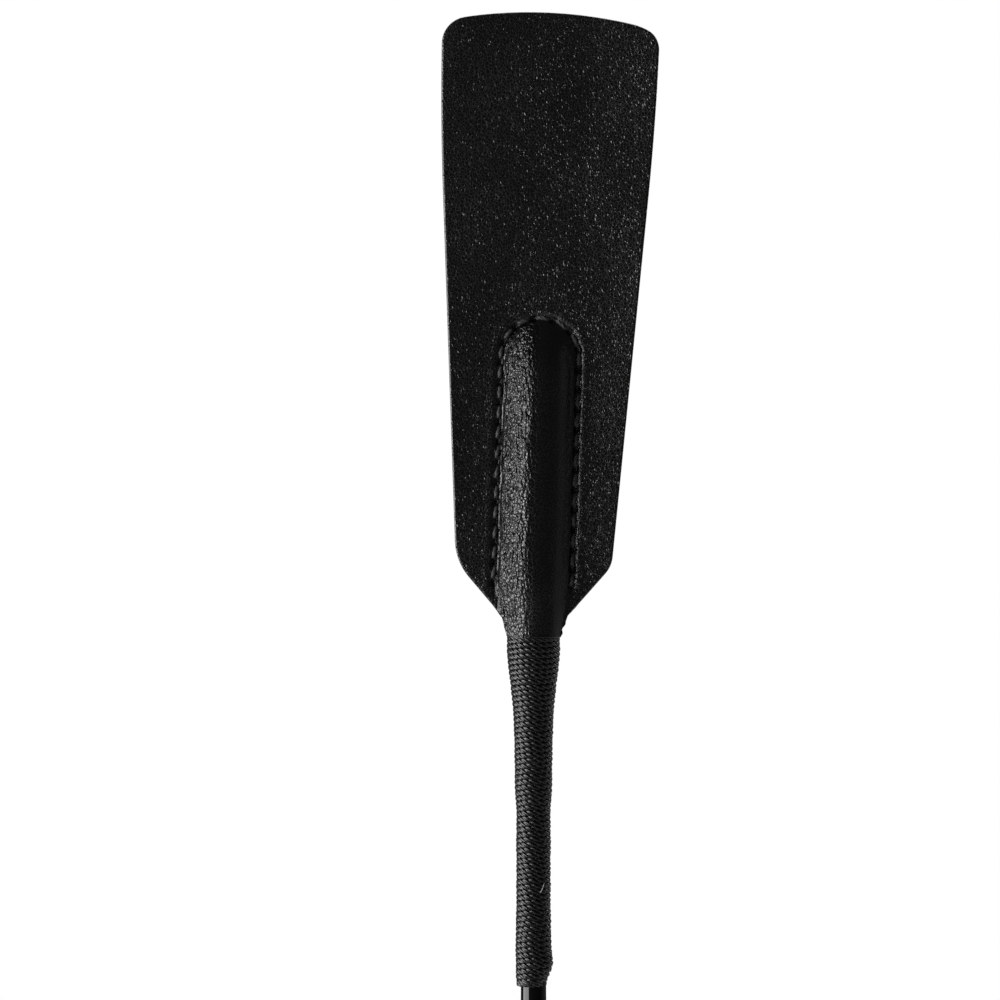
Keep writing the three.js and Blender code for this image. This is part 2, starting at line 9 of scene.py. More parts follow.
import bmesh
import bpy
import numpy as np
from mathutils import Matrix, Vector


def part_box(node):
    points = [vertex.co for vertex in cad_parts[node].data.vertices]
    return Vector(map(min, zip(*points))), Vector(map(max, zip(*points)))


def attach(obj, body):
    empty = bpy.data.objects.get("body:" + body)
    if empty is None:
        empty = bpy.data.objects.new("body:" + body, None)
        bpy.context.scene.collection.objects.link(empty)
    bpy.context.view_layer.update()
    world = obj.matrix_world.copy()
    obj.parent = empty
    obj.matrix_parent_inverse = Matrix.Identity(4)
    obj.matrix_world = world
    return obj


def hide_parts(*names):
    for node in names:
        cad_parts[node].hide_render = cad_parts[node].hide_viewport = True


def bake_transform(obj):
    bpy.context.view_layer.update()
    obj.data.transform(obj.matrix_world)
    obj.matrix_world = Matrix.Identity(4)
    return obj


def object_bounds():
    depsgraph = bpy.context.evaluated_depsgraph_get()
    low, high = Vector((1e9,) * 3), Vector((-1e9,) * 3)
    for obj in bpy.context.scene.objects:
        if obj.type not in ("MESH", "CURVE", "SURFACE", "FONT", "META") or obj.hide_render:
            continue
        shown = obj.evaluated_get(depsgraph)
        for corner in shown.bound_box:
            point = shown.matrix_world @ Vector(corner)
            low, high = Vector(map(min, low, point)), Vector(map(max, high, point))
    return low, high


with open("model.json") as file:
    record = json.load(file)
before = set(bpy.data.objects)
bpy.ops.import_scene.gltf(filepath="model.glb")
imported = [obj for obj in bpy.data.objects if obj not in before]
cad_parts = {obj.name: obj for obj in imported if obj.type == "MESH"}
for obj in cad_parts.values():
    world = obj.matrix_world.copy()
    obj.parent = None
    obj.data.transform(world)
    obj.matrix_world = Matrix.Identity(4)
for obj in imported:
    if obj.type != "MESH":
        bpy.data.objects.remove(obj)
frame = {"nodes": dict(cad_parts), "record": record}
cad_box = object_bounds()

MM = 0.001
rng = np.random.default_rng(7)

# ------------------------------------------------------------------ places taken from the frame


def node_low(name):
    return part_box(name)[0]


def node_high(name):
    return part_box(name)[1]


JOINTS = {j["name"]: j for j in frame["record"]["behaviour"]["joints"]}
FLEX_AXIS = Vector(JOINTS["keeper_flex"]["axis"])
LEAN = math.atan2(-FLEX_AXIS.z, FLEX_AXIS.x)
NECK_Z = node_high("tip_whipping").z
WHIP_LOW = (node_low("tip_whipping").z - NECK_Z) / MM
PIN_Z = JOINTS["strap_swing"]["pos_m"][2]

# ------------------------------------------------------------------ driving dimensions, in millimetres

LEATHER = 1.3
PLY_GAP = 0.04
FACE = 1.45
ARCH_FULLNESS = -0.12
END_START = 53.0
END_SLOPE = 0.7
NECK = 5.45
SHIFT = -0.45
HALF_LOW = 15.6
HALF_SIDE = 21.47
HALF_TOP = 21.77
SIDE_HEIGHT = 102.6
SIDE_R = 560.0
TOP_LEFT = 122.6
TOP_RIGHT = 120.7
CREST = 126.43
CREST_U = -1.1
TOP_ARC_R = 87.0
TOP_LEFT_R = 5.4
TOP_RIGHT_R = 4.5
SHOULDER = 122.7
SHOULDER_U = 17.1
SHOULDER_R = 14.4
THROAT = 2.9
THROAT_R = 10.0
LOW_HEIGHT = 14.6
LOW_RIGHT_R = 6.0
LOW_LEFT_R = 12.0
POCKET_R = 7.15
POCKET_RISE = 6.2
POCKET_NECK_R = 5.5
POCKET_NECK_RISE = 5.1
POCKET_SHIFT = -0.55
POCKET_END = 56.0
TAIL_LENGTH = 32.0
EDGE_ROUND = 0.42
SEAM_HALF = 7.8
SEAM_LOW_RIGHT = 10.6
SEAM_LOW_LEFT = 8.6
GROOVE_HALF = 0.62
OUTER_WALL = 0.8
OUTER_WALL_RIGHT = 0.38
INNER_WALL = 0.35
GROOVE_DEPTH = 0.3
GRAIN_DEPTH = 0.00022
GRAIN_CELLS = 1.75
PEBBLE_CELLS = 2.3
GATHERED_GRAIN = 1.1
DRAWN_GRAIN = 0.1
FLAP_GRAIN = 0.22
WRINKLE_HEIGHT = 0.11
STITCH_PITCH = 4.0
STITCH_LENGTH = 2.3
WHIP_PITCH = 1.02
COVER_TIP_R = 2.42
COVER_GRIP_R = 4.3


# ------------------------------------------------------------------ mesh helpers


def smoothstep(x, low, high):
    t = np.clip((np.asarray(x, float) - low) / (high - low), 0, 1)
    return t * t * (3 - 2 * t)


def value_noise(x, y, seed):
    """Smooth random heights from -1 to 1, one new value for each unit of x and y."""
    lattice = np.random.default_rng(seed).uniform(-1, 1, (256, 256))
    i, j = np.floor(x).astype(int), np.floor(y).astype(int)
    s, t = smoothstep(x - i, 0, 1), smoothstep(y - j, 0, 1)
    corner = [[lattice[(i + a) % 256, (j + b) % 256] for b in (0, 1)] for a in (0, 1)]
    low = corner[0][0] * (1 - s) + corner[1][0] * s
    high = corner[0][1] * (1 - s) + corner[1][1] * s
    return low * (1 - t) + high * t


def grid_faces(rows, cols, closed=False, start=0):
    """Quads of a grid of points stored row by row. closed joins the last column to the first."""
    last = cols if closed else cols - 1
    r, c = np.meshgrid(np.arange(rows - 1), np.arange(last), indexing="ij")
    nxt = (c + 1) % cols
    quads = np.stack([r * cols + c, r * cols + nxt, (r + 1) * cols + nxt, (r + 1) * cols + c], -1)
    return quads.reshape(-1, 4) + start


def make_object(name, points, polygons, materials, layers=None, indices=None):
    """A smooth mesh object from points in metres and polygons of any size."""
    mesh = bpy.data.meshes.new(name)
    sizes = np.array([len(p) for p in polygons])
    loops = np.concatenate([np.asarray(p, int) for p in polygons])
    mesh.vertices.add(len(points))
    mesh.vertices.foreach_set("co", np.asarray(points, np.float32).ravel())
    mesh.loops.add(len(loops))
    mesh.loops.foreach_set("vertex_index", loops.astype(np.int32))
    mesh.polygons.add(len(sizes))
    mesh.polygons.foreach_set("loop_start", np.concatenate([[0], np.cumsum(sizes)[:-1]]).astype(np.int32))
    mesh.polygons.foreach_set("use_smooth", np.ones(len(sizes), bool))
    for material in materials:
        mesh.materials.append(material)
    if indices is not None:
        mesh.polygons.foreach_set("material_index", np.asarray(indices, np.int32))
    mesh.update(calc_edges=True)
    for layer_name, values in (layers or {}).items():
        layer = mesh.attributes.new(layer_name, "FLOAT_VECTOR", "POINT")
        layer.data.foreach_set("vector", np.asarray(values, np.float32).ravel())
    mesh.validate()
    obj = bpy.data.objects.new(name, mesh)
    bpy.context.scene.collection.objects.link(obj)
    return obj


def face_outwards(obj):
    """Turns a closed mesh's faces to point out."""
    bm = bmesh.new()
    bm.from_mesh(obj.data)
    bmesh.ops.recalc_face_normals(bm, faces=bm.faces)
    bm.to_mesh(obj.data)
    bm.free()


def turned(name, profile, material, facets=96, closed=False):
    """A body turned about Z from [radius, z] points in millimetres; closed joins the profile's ends."""
    profile = np.asarray(profile, float)
    angle = np.linspace(0, 2 * math.pi, facets, endpoint=False)
    x = profile[:, 0, None] * np.cos(angle)
    y = profile[:, 0, None] * np.sin(angle)
    z = np.repeat(profile[:, 1, None], facets, axis=1)
    points = np.stack([x, y, z], -1).reshape(-1, 3) * MM
    rows = len(profile)
    polygons = list(grid_faces(rows, facets, closed=True))
    if closed:
        first = np.arange(facets)
        after = (first + 1) % facets
        base = (rows - 1) * facets
        polygons += list(np.stack([base + first, base + after, after, first], -1))
    else:
        polygons.append(np.arange(facets)[::-1])
        polygons.append(np.arange(facets) + (rows - 1) * facets)
    obj = make_object(name, points, polygons, [material])
    face_outwards(obj)
    return obj


def ply_reach(angle, plies, offset):
    """Outline of twisted plies: round strands side by side at an offset from the thread's centre."""
    ply = 2 * math.pi / plies
    from_crown = np.abs(np.mod(angle + ply / 2, ply) - ply / 2)
    strand = 1 - offset
    return offset * np.cos(from_crown) + np.sqrt(strand**2 - (offset * np.sin(from_crown)) ** 2)


def thread_mesh(path, outward, radius, plies=3, lay=3.4, section=15, offset=0.45, flat=1.0, round_power=1.0):
    """A twisted thread along a path, in millimetres: its plies go once round in every lay.

    outward is the direction away from what the thread lies on, and flat its thickness there over its width.
    A round_power below 1 presses its outside flatter than an oval.
    """
    step = np.diff(path, axis=0)
    length = np.concatenate([[0], np.cumsum(np.linalg.norm(step, axis=1))])
    along = np.gradient(path, axis=0)
    along /= np.linalg.norm(along, axis=1)[:, None]
    side = np.cross(along, outward)
    side /= np.linalg.norm(side, axis=1)[:, None]
    up = np.cross(side, along)
    angle = np.linspace(0, 2 * math.pi, section, endpoint=False)
    reach = radius * (ply_reach(angle, plies, offset) if offset else np.ones(section))
    spun = angle[None, :] + 2 * math.pi * length[:, None] / lay
    rise = flat * np.sign(np.cos(spun)) * np.abs(np.cos(spun)) ** round_power
    ring = up[:, None, :] * rise[:, :, None] + side[:, None, :] * np.sin(spun)[:, :, None]
    points = path[:, None, :] + ring * reach[None, :, None]
    polygons = list(grid_faces(len(path), section, closed=True))
    polygons.append(np.arange(section)[::-1])
    polygons.append(np.arange(section) + (len(path) - 1) * section)
    return points.reshape(-1, 3), polygons


def join_meshes(pieces):
    """Joins (points, polygons) pairs into one pair."""
    points, polygons, offset = [], [], 0
    for some, faces in pieces:
        points.append(some)
        polygons += [np.asarray(f) + offset for f in faces]
        offset += len(some)
    return np.concatenate(points), polygons


# ------------------------------------------------------------------ materials


class Nodes:
    """A small builder of one material's node tree."""

    def __init__(self, name):
        self.material = bpy.data.materials.new(name)
        self.material.use_nodes = True
        self.tree = self.material.node_tree
        self.shader = self.tree.nodes["Principled BSDF"]

    def add(self, kind, **settings):
        node = self.tree.nodes.new(kind)
        for key, value in settings.items():
            if key in node.inputs:
                node.inputs[key].default_value = value
            else:
                setattr(node, key, value)
        return node

    def link(self, output, target):
        self.tree.links.new(output, target)

    def place(self, kind="Object", scale=(1, 1, 1)):
        coordinates = self.add("ShaderNodeTexCoord")
        mapping = self.add("ShaderNodeMapping")
        mapping.inputs["Scale"].default_value = scale
        self.link(coordinates.outputs[kind], mapping.inputs["Vector"])
        return mapping.outputs["Vector"]

    def layer(self, name):
        attribute = self.add("ShaderNodeAttribute")
        attribute.attribute_name = name
        return attribute.outputs["Vector"]

    def rest(self, scale=(1, 1, 1)):
        """Places on the undeformed leather, in millimetres across, through and along it."""
        mapping = self.add("ShaderNodeMapping")
        mapping.inputs["Scale"].default_value = scale
        self.link(self.layer("rest"), mapping.inputs["Vector"])
        return mapping.outputs["Vector"]

    def noise(self, where, scale, detail=3.0, rough=0.5):
        node = self.add("ShaderNodeTexNoise")
        node.inputs["Scale"].default_value = scale
        node.inputs["Detail"].default_value = detail
        node.inputs["Roughness"].default_value = rough
        self.link(where, node.inputs["Vector"])
        return node.outputs["Fac"]

    def cells(self, where, scale, feature="F1"):
        node = self.add("ShaderNodeTexVoronoi")
        node.feature = feature
        node.inputs["Scale"].default_value = scale
        self.link(where, node.inputs["Vector"])
        return node.outputs["Distance"]

    def cell_value(self, where, scale):
        """A random value from 0 to 1 for each cell."""
        node = self.add("ShaderNodeTexVoronoi")
        node.inputs["Scale"].default_value = scale
        self.link(where, node.inputs["Vector"])
        split = self.add("ShaderNodeSeparateColor")
        self.link(node.outputs["Color"], split.inputs["Color"])
        return split.outputs["Red"]

    def math(self, operation, first, second=None, clamp=False):
        node = self.add("ShaderNodeMath")
        node.operation = operation
        node.use_clamp = clamp
        for socket, value in zip(node.inputs, (first, second)):
            if value is None:
                continue
            if isinstance(value, (int, float)):
                socket.default_value = value
            else:
                self.link(value, socket)
        return node.outputs["Value"]

    def spread(self, value, low, high, to_low, to_high, smooth=False):
        node = self.add("ShaderNodeMapRange")
        node.interpolation_type = "SMOOTHSTEP" if smooth else "LINEAR"
        node.inputs["From Min"].default_value = low
        node.inputs["From Max"].default_value = high
        node.inputs["To Min"].default_value = to_low
        node.inputs["To Max"].default_value = to_high
        self.link(value, node.inputs["Value"])
        return node.outputs["Result"]

    def colour(self, factor, dark, light):
        node = self.add("ShaderNodeMix", data_type="RGBA")
        node.inputs["A"].default_value = (*dark, 1)
        node.inputs["B"].default_value = (*light, 1)
        sockets = [s for s in node.inputs if s.type == "RGBA"]
        sockets[0].default_value = (*dark, 1)
        sockets[1].default_value = (*light, 1)
        self.link(factor, node.inputs["Factor"])
        return [s for s in node.outputs if s.type == "RGBA"][0]

    def bump(self, height, distance, strength=1.0, before=None):
        node = self.add("ShaderNodeBump")
        node.inputs["Strength"].default_value = strength
        node.inputs["Distance"].default_value = distance
        self.link(height, node.inputs["Height"])
        if before is not None:
            self.link(before, node.inputs["Normal"])
        return node.outputs["Normal"]

    def finish(self, colour=None, roughness=None, normal=None, **values):
        if colour is not None:
            self.link(colour, self.shader.inputs["Base Color"])
        if roughness is not None:
            self.link(roughness, self.shader.inputs["Roughness"])
        if normal is not None:
            self.link(normal, self.shader.inputs["Normal"])
        for key, value in values.items():
            self.shader.inputs[key.replace("_", " ")].default_value = value
        return self.material


def pebbled_leather():
    """Black leather with a fine pebble grain: small domes of uneven height, with rough creases between, where
    the base colour is darkened as painted shade.
    """
    n = Nodes("pebbled_leather")
    place = n.rest(scale=(1.0, 1.0, 0.85))
    bend = n.add("ShaderNodeTexNoise")
    bend.inputs["Scale"].default_value = 1.6
    n.link(place, bend.inputs["Vector"])
    warp = n.add("ShaderNodeVectorMath", operation="MULTIPLY_ADD")
    n.link(bend.outputs["Color"], warp.inputs[0])
    warp.inputs[1].default_value = (0.3, 0.3, 0.3)
    n.link(place, warp.inputs[2])
    warped = warp.outputs["Vector"]
    cell = n.cells(warped, GRAIN_CELLS, "F1")
    to_edge = n.cells(warped, GRAIN_CELLS, "DISTANCE_TO_EDGE")
    crease = n.math("MULTIPLY", to_edge, 6.0, clamp=True)
    rim = n.spread(n.cells(warped, PEBBLE_CELLS, "DISTANCE_TO_EDGE"), 0.0, 0.35, 0.0, 1.0, smooth=True)
    proud = n.math("POWER", n.cell_value(warped, PEBBLE_CELLS), 4.0)
    dome = n.math("SUBTRACT", 1.0, n.math("MULTIPLY", cell, cell))
    pebble = n.math("ADD", dome, n.math("MULTIPLY", crease, 0.1))
    uneven = n.noise(warped, 1.0, 3.0, 0.6)
    patch = n.noise(place, 0.16, 2.0)
    depth = n.add("ShaderNodeSeparateXYZ")
    n.link(n.layer("grain"), depth.inputs["Vector"])
    strength = n.math("MULTIPLY", n.spread(patch, 0.35, 0.65, 0.8, 1.15), depth.outputs["X"])
    height = n.math("ADD", pebble, n.math("MULTIPLY", uneven, 0.9))
    folds = n.noise(n.rest(scale=(1.5, 1.5, 0.55)), 1.0, 0.6)
    gather = n.math("MULTIPLY", n.math("MULTIPLY", folds, depth.outputs["Y"]), 4.6)
    raised = n.spread(proud, 0.0, 1.0, 0.04, 0.6)
    stand = n.math("MULTIPLY", n.math("MULTIPLY", rim, raised), depth.outputs["Z"])
    relief = n.math("ADD", n.math("ADD", n.math("MULTIPLY", height, strength), gather), stand)
    normal = n.bump(relief, GRAIN_DEPTH)
    # painted shade: the base colour is darker in the creases between the pebbles, where shade falls
    colour = n.colour(crease, (0.0008, 0.001, 0.0008), (0.0022, 0.0026, 0.002))
    roughness = n.math("ADD", n.spread(crease, 0.0, 1.0, 0.5, 0.13), n.spread(patch, 0.3, 0.7, 0.0, 0.05))
    return n.finish(colour, roughness, normal, Specular_IOR_Level=0.55)


def cut_edge():
    """The keeper's edge, painted and rubbed smooth, with fine fibres showing."""
    n = Nodes("leather_edge")
    place = n.place(scale=(1000, 1000, 1000))
    fibres = n.noise(n.place(scale=(3000, 3000, 900)), 1.0, 4.0, 0.7)
    cloudy = n.noise(place, 0.4, 3.0)
    colour = n.colour(cloudy, (0.012, 0.012, 0.012), (0.045, 0.045, 0.044))
    roughness = n.spread(cloudy, 0.3, 0.7, 0.3, 0.45)
    return n.finish(colour, roughness, n.bump(fibres, 0.00004), Specular_IOR_Level=0.6)


def smooth_leather(name, grain=0.9, depth=0.00006):
    """Smooth black strap or grip leather: small pores, soft creases and slight wear."""
    n = Nodes(name)
    place = n.place(scale=(1000, 1000, 1000))
    pores = n.spread(n.cells(place, grain, "DISTANCE_TO_EDGE"), 0.0, 0.2, 0.0, 1.0)
    fine = n.noise(place, 2.5, 4.0, 0.65)
    broad = n.noise(place, 0.08, 3.0)
    height = n.math("ADD", n.math("MULTIPLY", pores, 0.6), n.math("MULTIPLY", fine, 0.6))
    colour = n.colour(broad, (0.004, 0.0039, 0.0037), (0.009, 0.0088, 0.0085))
    roughness = n.spread(n.math("ADD", fine, broad), 0.7, 1.3, 0.34, 0.5)
    normal = n.bump(broad, 0.0004, 0.4, before=n.bump(height, depth))
    return n.finish(colour, roughness, normal)


def waxed_thread(name, light=0.004, smooth=0.14, rough=0.3):
    """Waxed black thread: fine fibres, with wax that lies unevenly."""
    n = Nodes(name)
    place = n.place(scale=(1000, 1000, 1000))
    fibres = n.noise(place, 7.0, 3.0, 0.7)
    wax = n.noise(place, 1.1, 2.0)
    colour = n.colour(fibres, (light * 0.5,) * 3, (light * 1.3,) * 3)
    roughness = n.spread(wax, 0.3, 0.7, smooth, rough)
    return n.finish(colour, roughness, n.bump(fibres, 0.00004), Specular_IOR_Level=0.42)


def gloss_cover():
    """The shaft's gloss black cover, with faint ripples along it and fine rub marks."""
    n = Nodes("gloss_cover")
    ripple = n.noise(n.place(scale=(500, 500, 60)), 1.0, 2.0)
    rubs = n.noise(n.place(scale=(900, 900, 4000)), 1.0, 4.0, 0.7)
    colour = n.colour(ripple, (0.0015, 0.0016, 0.0015), (0.0035, 0.0036, 0.0035))
    roughness = n.spread(rubs, 0.3, 0.75, 0.04, 0.12)
    return n.finish(colour, roughness, n.bump(ripple, 0.00008, 0.6), Specular_IOR_Level=0.27)


def moulded_plastic():
    """The butt cap's satin black plastic, slightly grained."""
    n = Nodes("moulded_plastic")
    place = n.place(scale=(1000, 1000, 1000))
    grain = n.noise(place, 3.5, 4.0, 0.6)
    broad = n.noise(place, 0.12, 3.0)
    colour = n.colour(broad, (0.009, 0.009, 0.0095), (0.018, 0.018, 0.018))
    roughness = n.spread(n.math("ADD", grain, broad), 0.7, 1.3, 0.26, 0.42)
    return n.finish(colour, roughness, n.bump(grain, 0.00003))


def nickel():
    """Polished nickel with fine scratches and a little tarnish."""
    n = Nodes("nickel")
    place = n.place(scale=(1000, 1000, 1000))
    tarnish = n.noise(place, 0.5, 4.0)
    scratch = n.noise(n.place(scale=(600, 4000, 4000)), 1.0, 3.0, 0.7)
    colour = n.colour(tarnish, (0.55, 0.53, 0.49), (0.74, 0.72, 0.68))
    roughness = n.spread(n.math("ADD", scratch, tarnish), 0.7, 1.3, 0.16, 0.36)
    return n.finish(colour, roughness, n.bump(scratch, 0.00001), Metallic=1.0)


def fibreglass():
    """Pulled fibreglass rod: pale resin with its glass strands running along it."""
    n = Nodes("fibreglass")
    strands = n.noise(n.place(scale=(4000, 4000, 60)), 1.0, 3.0, 0.6)
    cloudy = n.noise(n.place(scale=(1000, 1000, 1000)), 0.2, 3.0)
    colour = n.colour(strands, (0.4, 0.42, 0.3), (0.64, 0.66, 0.52))
    roughness = n.spread(cloudy, 0.3, 0.7, 0.35, 0.5)
    return n.finish(colour, roughness, n.bump(strands, 0.00004))


def felt():
    """Dark wool felt."""
    n = Nodes("felt")
    place = n.place(scale=(1000, 1000, 1000))
    fibres = n.noise(place, 5.0, 6.0, 0.8)
    lumps = n.noise(place, 0.6, 3.0)
    colour = n.colour(fibres, (0.025, 0.024, 0.023), (0.075, 0.073, 0.07))
    roughness = n.spread(lumps, 0.3, 0.7, 0.88, 0.98)
    return n.finish(colour, roughness, n.bump(fibres, 0.0002))


def turned_wood():
    """Pale hardwood of the grip's core, its grain along the grip."""
    n = Nodes("turned_wood")
    grain = n.noise(n.place(scale=(700, 700, 25)), 1.0, 5.0, 0.65)
    pores = n.noise(n.place(scale=(2500, 2500, 200)), 1.0, 3.0, 0.6)
    colour = n.colour(grain, (0.3, 0.17, 0.08), (0.5, 0.32, 0.17))
    roughness = n.spread(pores, 0.3, 0.7, 0.55, 0.75)
    return n.finish(colour, roughness, n.bump(pores, 0.00008))


MATERIALS = {
    "keeper": pebbled_leather(),
    "edge": cut_edge(),
    "grip": smooth_leather("grip_leather"),
    "strap": smooth_leather("strap_leather", grain=1.2, depth=0.00004),
    "whipping": waxed_thread("whipping_thread", smooth=0.18, rough=0.34),
    "fibre": waxed_thread("loose_fibre", light=0.3, smooth=0.4, rough=0.6),
    "seam": waxed_thread("seam_thread", light=0.03, smooth=0.5, rough=0.7),
    "cover": gloss_cover(),
    "plastic": moulded_plastic(),
    "nickel": nickel(),
    "fibreglass": fibreglass(),
    "felt": felt(),
    "wood": turned_wood(),
}


# ------------------------------------------------------------------ the keeper's outline and surface


def rounded(corners):
    """A closed outline whose corners [x, y, radius, steps] are rounded."""
    points = []
    count = len(corners)
    for i, (x, y, radius, steps) in enumerate(corners):
        here = np.array([x, y], float)
        if radius == 0:
            points.append(here)
            continue
        before = np.array(corners[i - 1][:2]) - here
        after = np.array(corners[(i + 1) % count][:2]) - here
        before /= np.linalg.norm(before)
        after /= np.linalg.norm(after)
        half = math.acos(np.clip(before @ after, -1, 1)) / 2
        middle = before + after
        centre = here + middle / np.linalg.norm(middle) * radius / math.sin(half)
        start = here + before * radius / math.tan(half) - centre
        end = here + after * radius / math.tan(half) - centre
        turn = math.atan2(start[0] * end[1] - start[1] * end[0], start @ end)
        for k in range(steps + 1):
            a = turn * k / steps
            spin = np.array([[math.cos(a), -math.sin(a)], [math.sin(a), math.cos(a)]])
            points.append(centre + spin @ start)
    return np.array(points)


def keeper_outline():
    def side(sign, half, height, radius, steps):
        return [SHIFT + sign * half, height, radius, steps]

    corners = [
        [-NECK, -1, 0, 0],
        [NECK, -1, 0, 0],
        [NECK, THROAT, THROAT_R, 16],
        side(1, HALF_LOW, LOW_HEIGHT, LOW_RIGHT_R, 14),
        side(1, HALF_SIDE, SIDE_HEIGHT, SIDE_R, 20),
        side(1, HALF_TOP, TOP_RIGHT, TOP_RIGHT_R, 16),
        [SHOULDER_U, SHOULDER, SHOULDER_R, 12],
        [CREST_U, CREST, TOP_ARC_R, 40],
        side(-1, HALF_TOP, TOP_LEFT, TOP_LEFT_R, 16),
        side(-1, HALF_SIDE, SIDE_HEIGHT, SIDE_R, 20),
        side(-1, HALF_LOW, LOW_HEIGHT, LOW_LEFT_R, 16),
        [-NECK, THROAT, THROAT_R, 16],
    ]
    return rounded(corners)


OUTLINE = keeper_outline()


def tail_radius(w):
    """Outside of the leathers' tails, bound down under the whipping."""
    heights = [-TAIL_LENGTH, -20.6, -16.6, -12.6, -8.6, -4, 0]
    radii = [2.75, 2.85, 3.0, 3.15, 3.55, 3.95, 4.15]
    return np.interp(w, heights, radii)


def up_to_corner(side):
    """The part of a side that ends where its top corner does."""
    past = (np.abs(side[:, 0]) < CORNER_END_U) & (side[:, 1] > CORNER_START)
    return side[: np.argmax(past)]


def side_points():
    """The outline's two sides as rows of [u, w], matched in height and going round the top corners."""
    crest = OUTLINE[:, 1].argmax()
    right = OUTLINE[1:crest]
    left = np.vstack([OUTLINE[crest + 1 :], OUTLINE[:1]])[::-1]
    return up_to_corner(left), up_to_corner(right)


def along(points, count, start):
    """Even steps along a chain of points from the height start to its end."""
    keep = points[points[:, 1] > start]
    first = np.array([np.interp(start, points[:, 1], points[:, 0]), start])
    keep = np.vstack([first, keep])
    length = np.concatenate([[0], np.cumsum(np.linalg.norm(np.diff(keep, axis=0), axis=1))])
    want = np.linspace(0, length[-1], count)
    return np.stack([np.interp(want, length, keep[:, 0]), np.interp(want, length, keep[:, 1])], -1)


CORNER_START = 115.0
CORNER_END_U = 17.2
NECK_EDGE = 0.2
NECK_ROOT = -0.45


def crumpling(w, start=0):
    """A random step sideways of the cut edge near the neck."""
    return float(value_noise(np.array(w * 1.1 + start), np.array(0.5), 41))


def keeper_rows():
    """Left and right ends of each row of the leather, with how far the row follows the top arc."""
    left, right = side_points()
    heights = np.concatenate(
        [
            np.linspace(-TAIL_LENGTH, -1, 8, endpoint=False),
            np.linspace(-1, 8, 32, endpoint=False),
            np.linspace(8, 66, 176, endpoint=False),
            np.linspace(66, CORNER_START, 76, endpoint=False),
        ]
    )
    rows_left, rows_right, arch = [], [], []
    for w in heights:
        if w < NECK_EDGE:
            reach = tail_radius(w) + (5.5 - tail_radius(0.0)) * float(smoothstep(w, NECK_ROOT, NECK_EDGE))
            rows_left.append([-reach, w])
            rows_right.append([reach, w])
        else:
            crumple = 0.3 * float(1 - smoothstep(w, 4, 8))
            jog_left = crumple * crumpling(w)
            jog_right = crumple * crumpling(w, 40)
            rows_left.append([np.interp(w, left[:, 1], left[:, 0]) + jog_left, w])
            rows_right.append([np.interp(w, right[:, 1], right[:, 0]) + jog_right, w])
        arch.append(0.0)
    count = 26
    top_left = along(left, count, CORNER_START)
    top_right = along(right, count, CORNER_START)
    for k, (a, b) in enumerate(zip(top_left, top_right)):
        rows_left.append(a)
        rows_right.append(b)
        arch.append(math.sin(0.5 * math.pi * k / (count - 1)))
    return np.array(rows_left), np.array(rows_right), np.array(arch)


INNER_SHARE = 0.62


def column_places():
    """Places from -1 to 1 across a row: close together over the pocket and its seam, and at the cut edges."""
    inner = np.linspace(0, INNER_SHARE, 52, endpoint=False)
    outer = np.linspace(INNER_SHARE, 0.96, 16, endpoint=False)
    edge = 1 - 0.04 * (1 - np.linspace(0, 1, 8)) ** 1.3
    half = np.concatenate([inner, outer, edge])
    return np.concatenate([-half[:0:-1], half])


def spread_columns(places, reach):
    """Distance of each column from the row's middle: the inner columns keep the pocket's own spacing."""
    zone = np.minimum(10.0, 0.72 * reach)[:, None]
    size = np.abs(places)[None, :]
    inner = size / INNER_SHARE * zone
    outer = zone + (size - INNER_SHARE) / (1 - INNER_SHARE) * (reach[:, None] - zone)
    return np.sign(places)[None, :] * np.where(size < INNER_SHARE, inner, outer)


def keeper_grid():
    """(u, w) of every point of a keeper leather, row by row, in the leaning frame."""
    left, right, arch = keeper_rows()
    places = column_places()
    middle = (left[:, 0] + right[:, 0]) / 2
    reach = (right[:, 0] - left[:, 0]) / 2
    u = middle[:, None] + spread_columns(places, reach)
    share = (u - left[:, :1]) / (right[:, :1] - left[:, :1])
    chord = left[:, 1, None] * (1 - share) + right[:, 1, None] * share
    top = OUTLINE[OUTLINE[:, 1] > CORNER_START]
    top = top[np.argsort(top[:, 0])]
    top_edge = np.interp(u[-1], top[:, 0], top[:, 1])
    return u, chord + arch[:, None] * (top_edge - chord[-1])


def outline_distance(u, w):
    """How far each point lies inside the flap's outline."""
    flat = np.stack([u.ravel(), w.ravel()], -1)
    best = np.full(len(flat), 1e9)
    for a, b in zip(OUTLINE[1:-1], OUTLINE[2:]):
        ahead = b - a
        t = np.clip(((flat - a) @ ahead) / max(ahead @ ahead, 1e-12), 0, 1)
        best = np.minimum(best, np.linalg.norm(flat - (a + t[:, None] * ahead), axis=1))
    return best.reshape(u.shape)


def seam_distance(u, w):
    """Distance outwards from the seam's path round the pocket, and the length along it from its right end."""
    across = u - POCKET_SHIFT
    above = np.maximum(w - POCKET_END, 0)
    distance = np.hypot(across, above) - SEAM_HALF
    angle = np.arctan2(above, across)
    leg = POCKET_END - SEAM_LOW_RIGHT
    length = np.where(
        above > 0,
        leg + SEAM_HALF * angle,
        np.where(across > 0, w - SEAM_LOW_RIGHT, leg + SEAM_HALF * math.pi + (POCKET_END - w)),
    )
    return distance, length


SEAM_LENGTH = (POCKET_END - SEAM_LOW_RIGHT) + SEAM_HALF * math.pi + (POCKET_END - SEAM_LOW_LEFT)
STITCHES = int(SEAM_LENGTH // STITCH_PITCH)


def pocket_axis(w):
    """The pocket's middle, which moves to the left of the rod as it leaves the neck."""
    return POCKET_SHIFT * smoothstep(w, 3, 16)


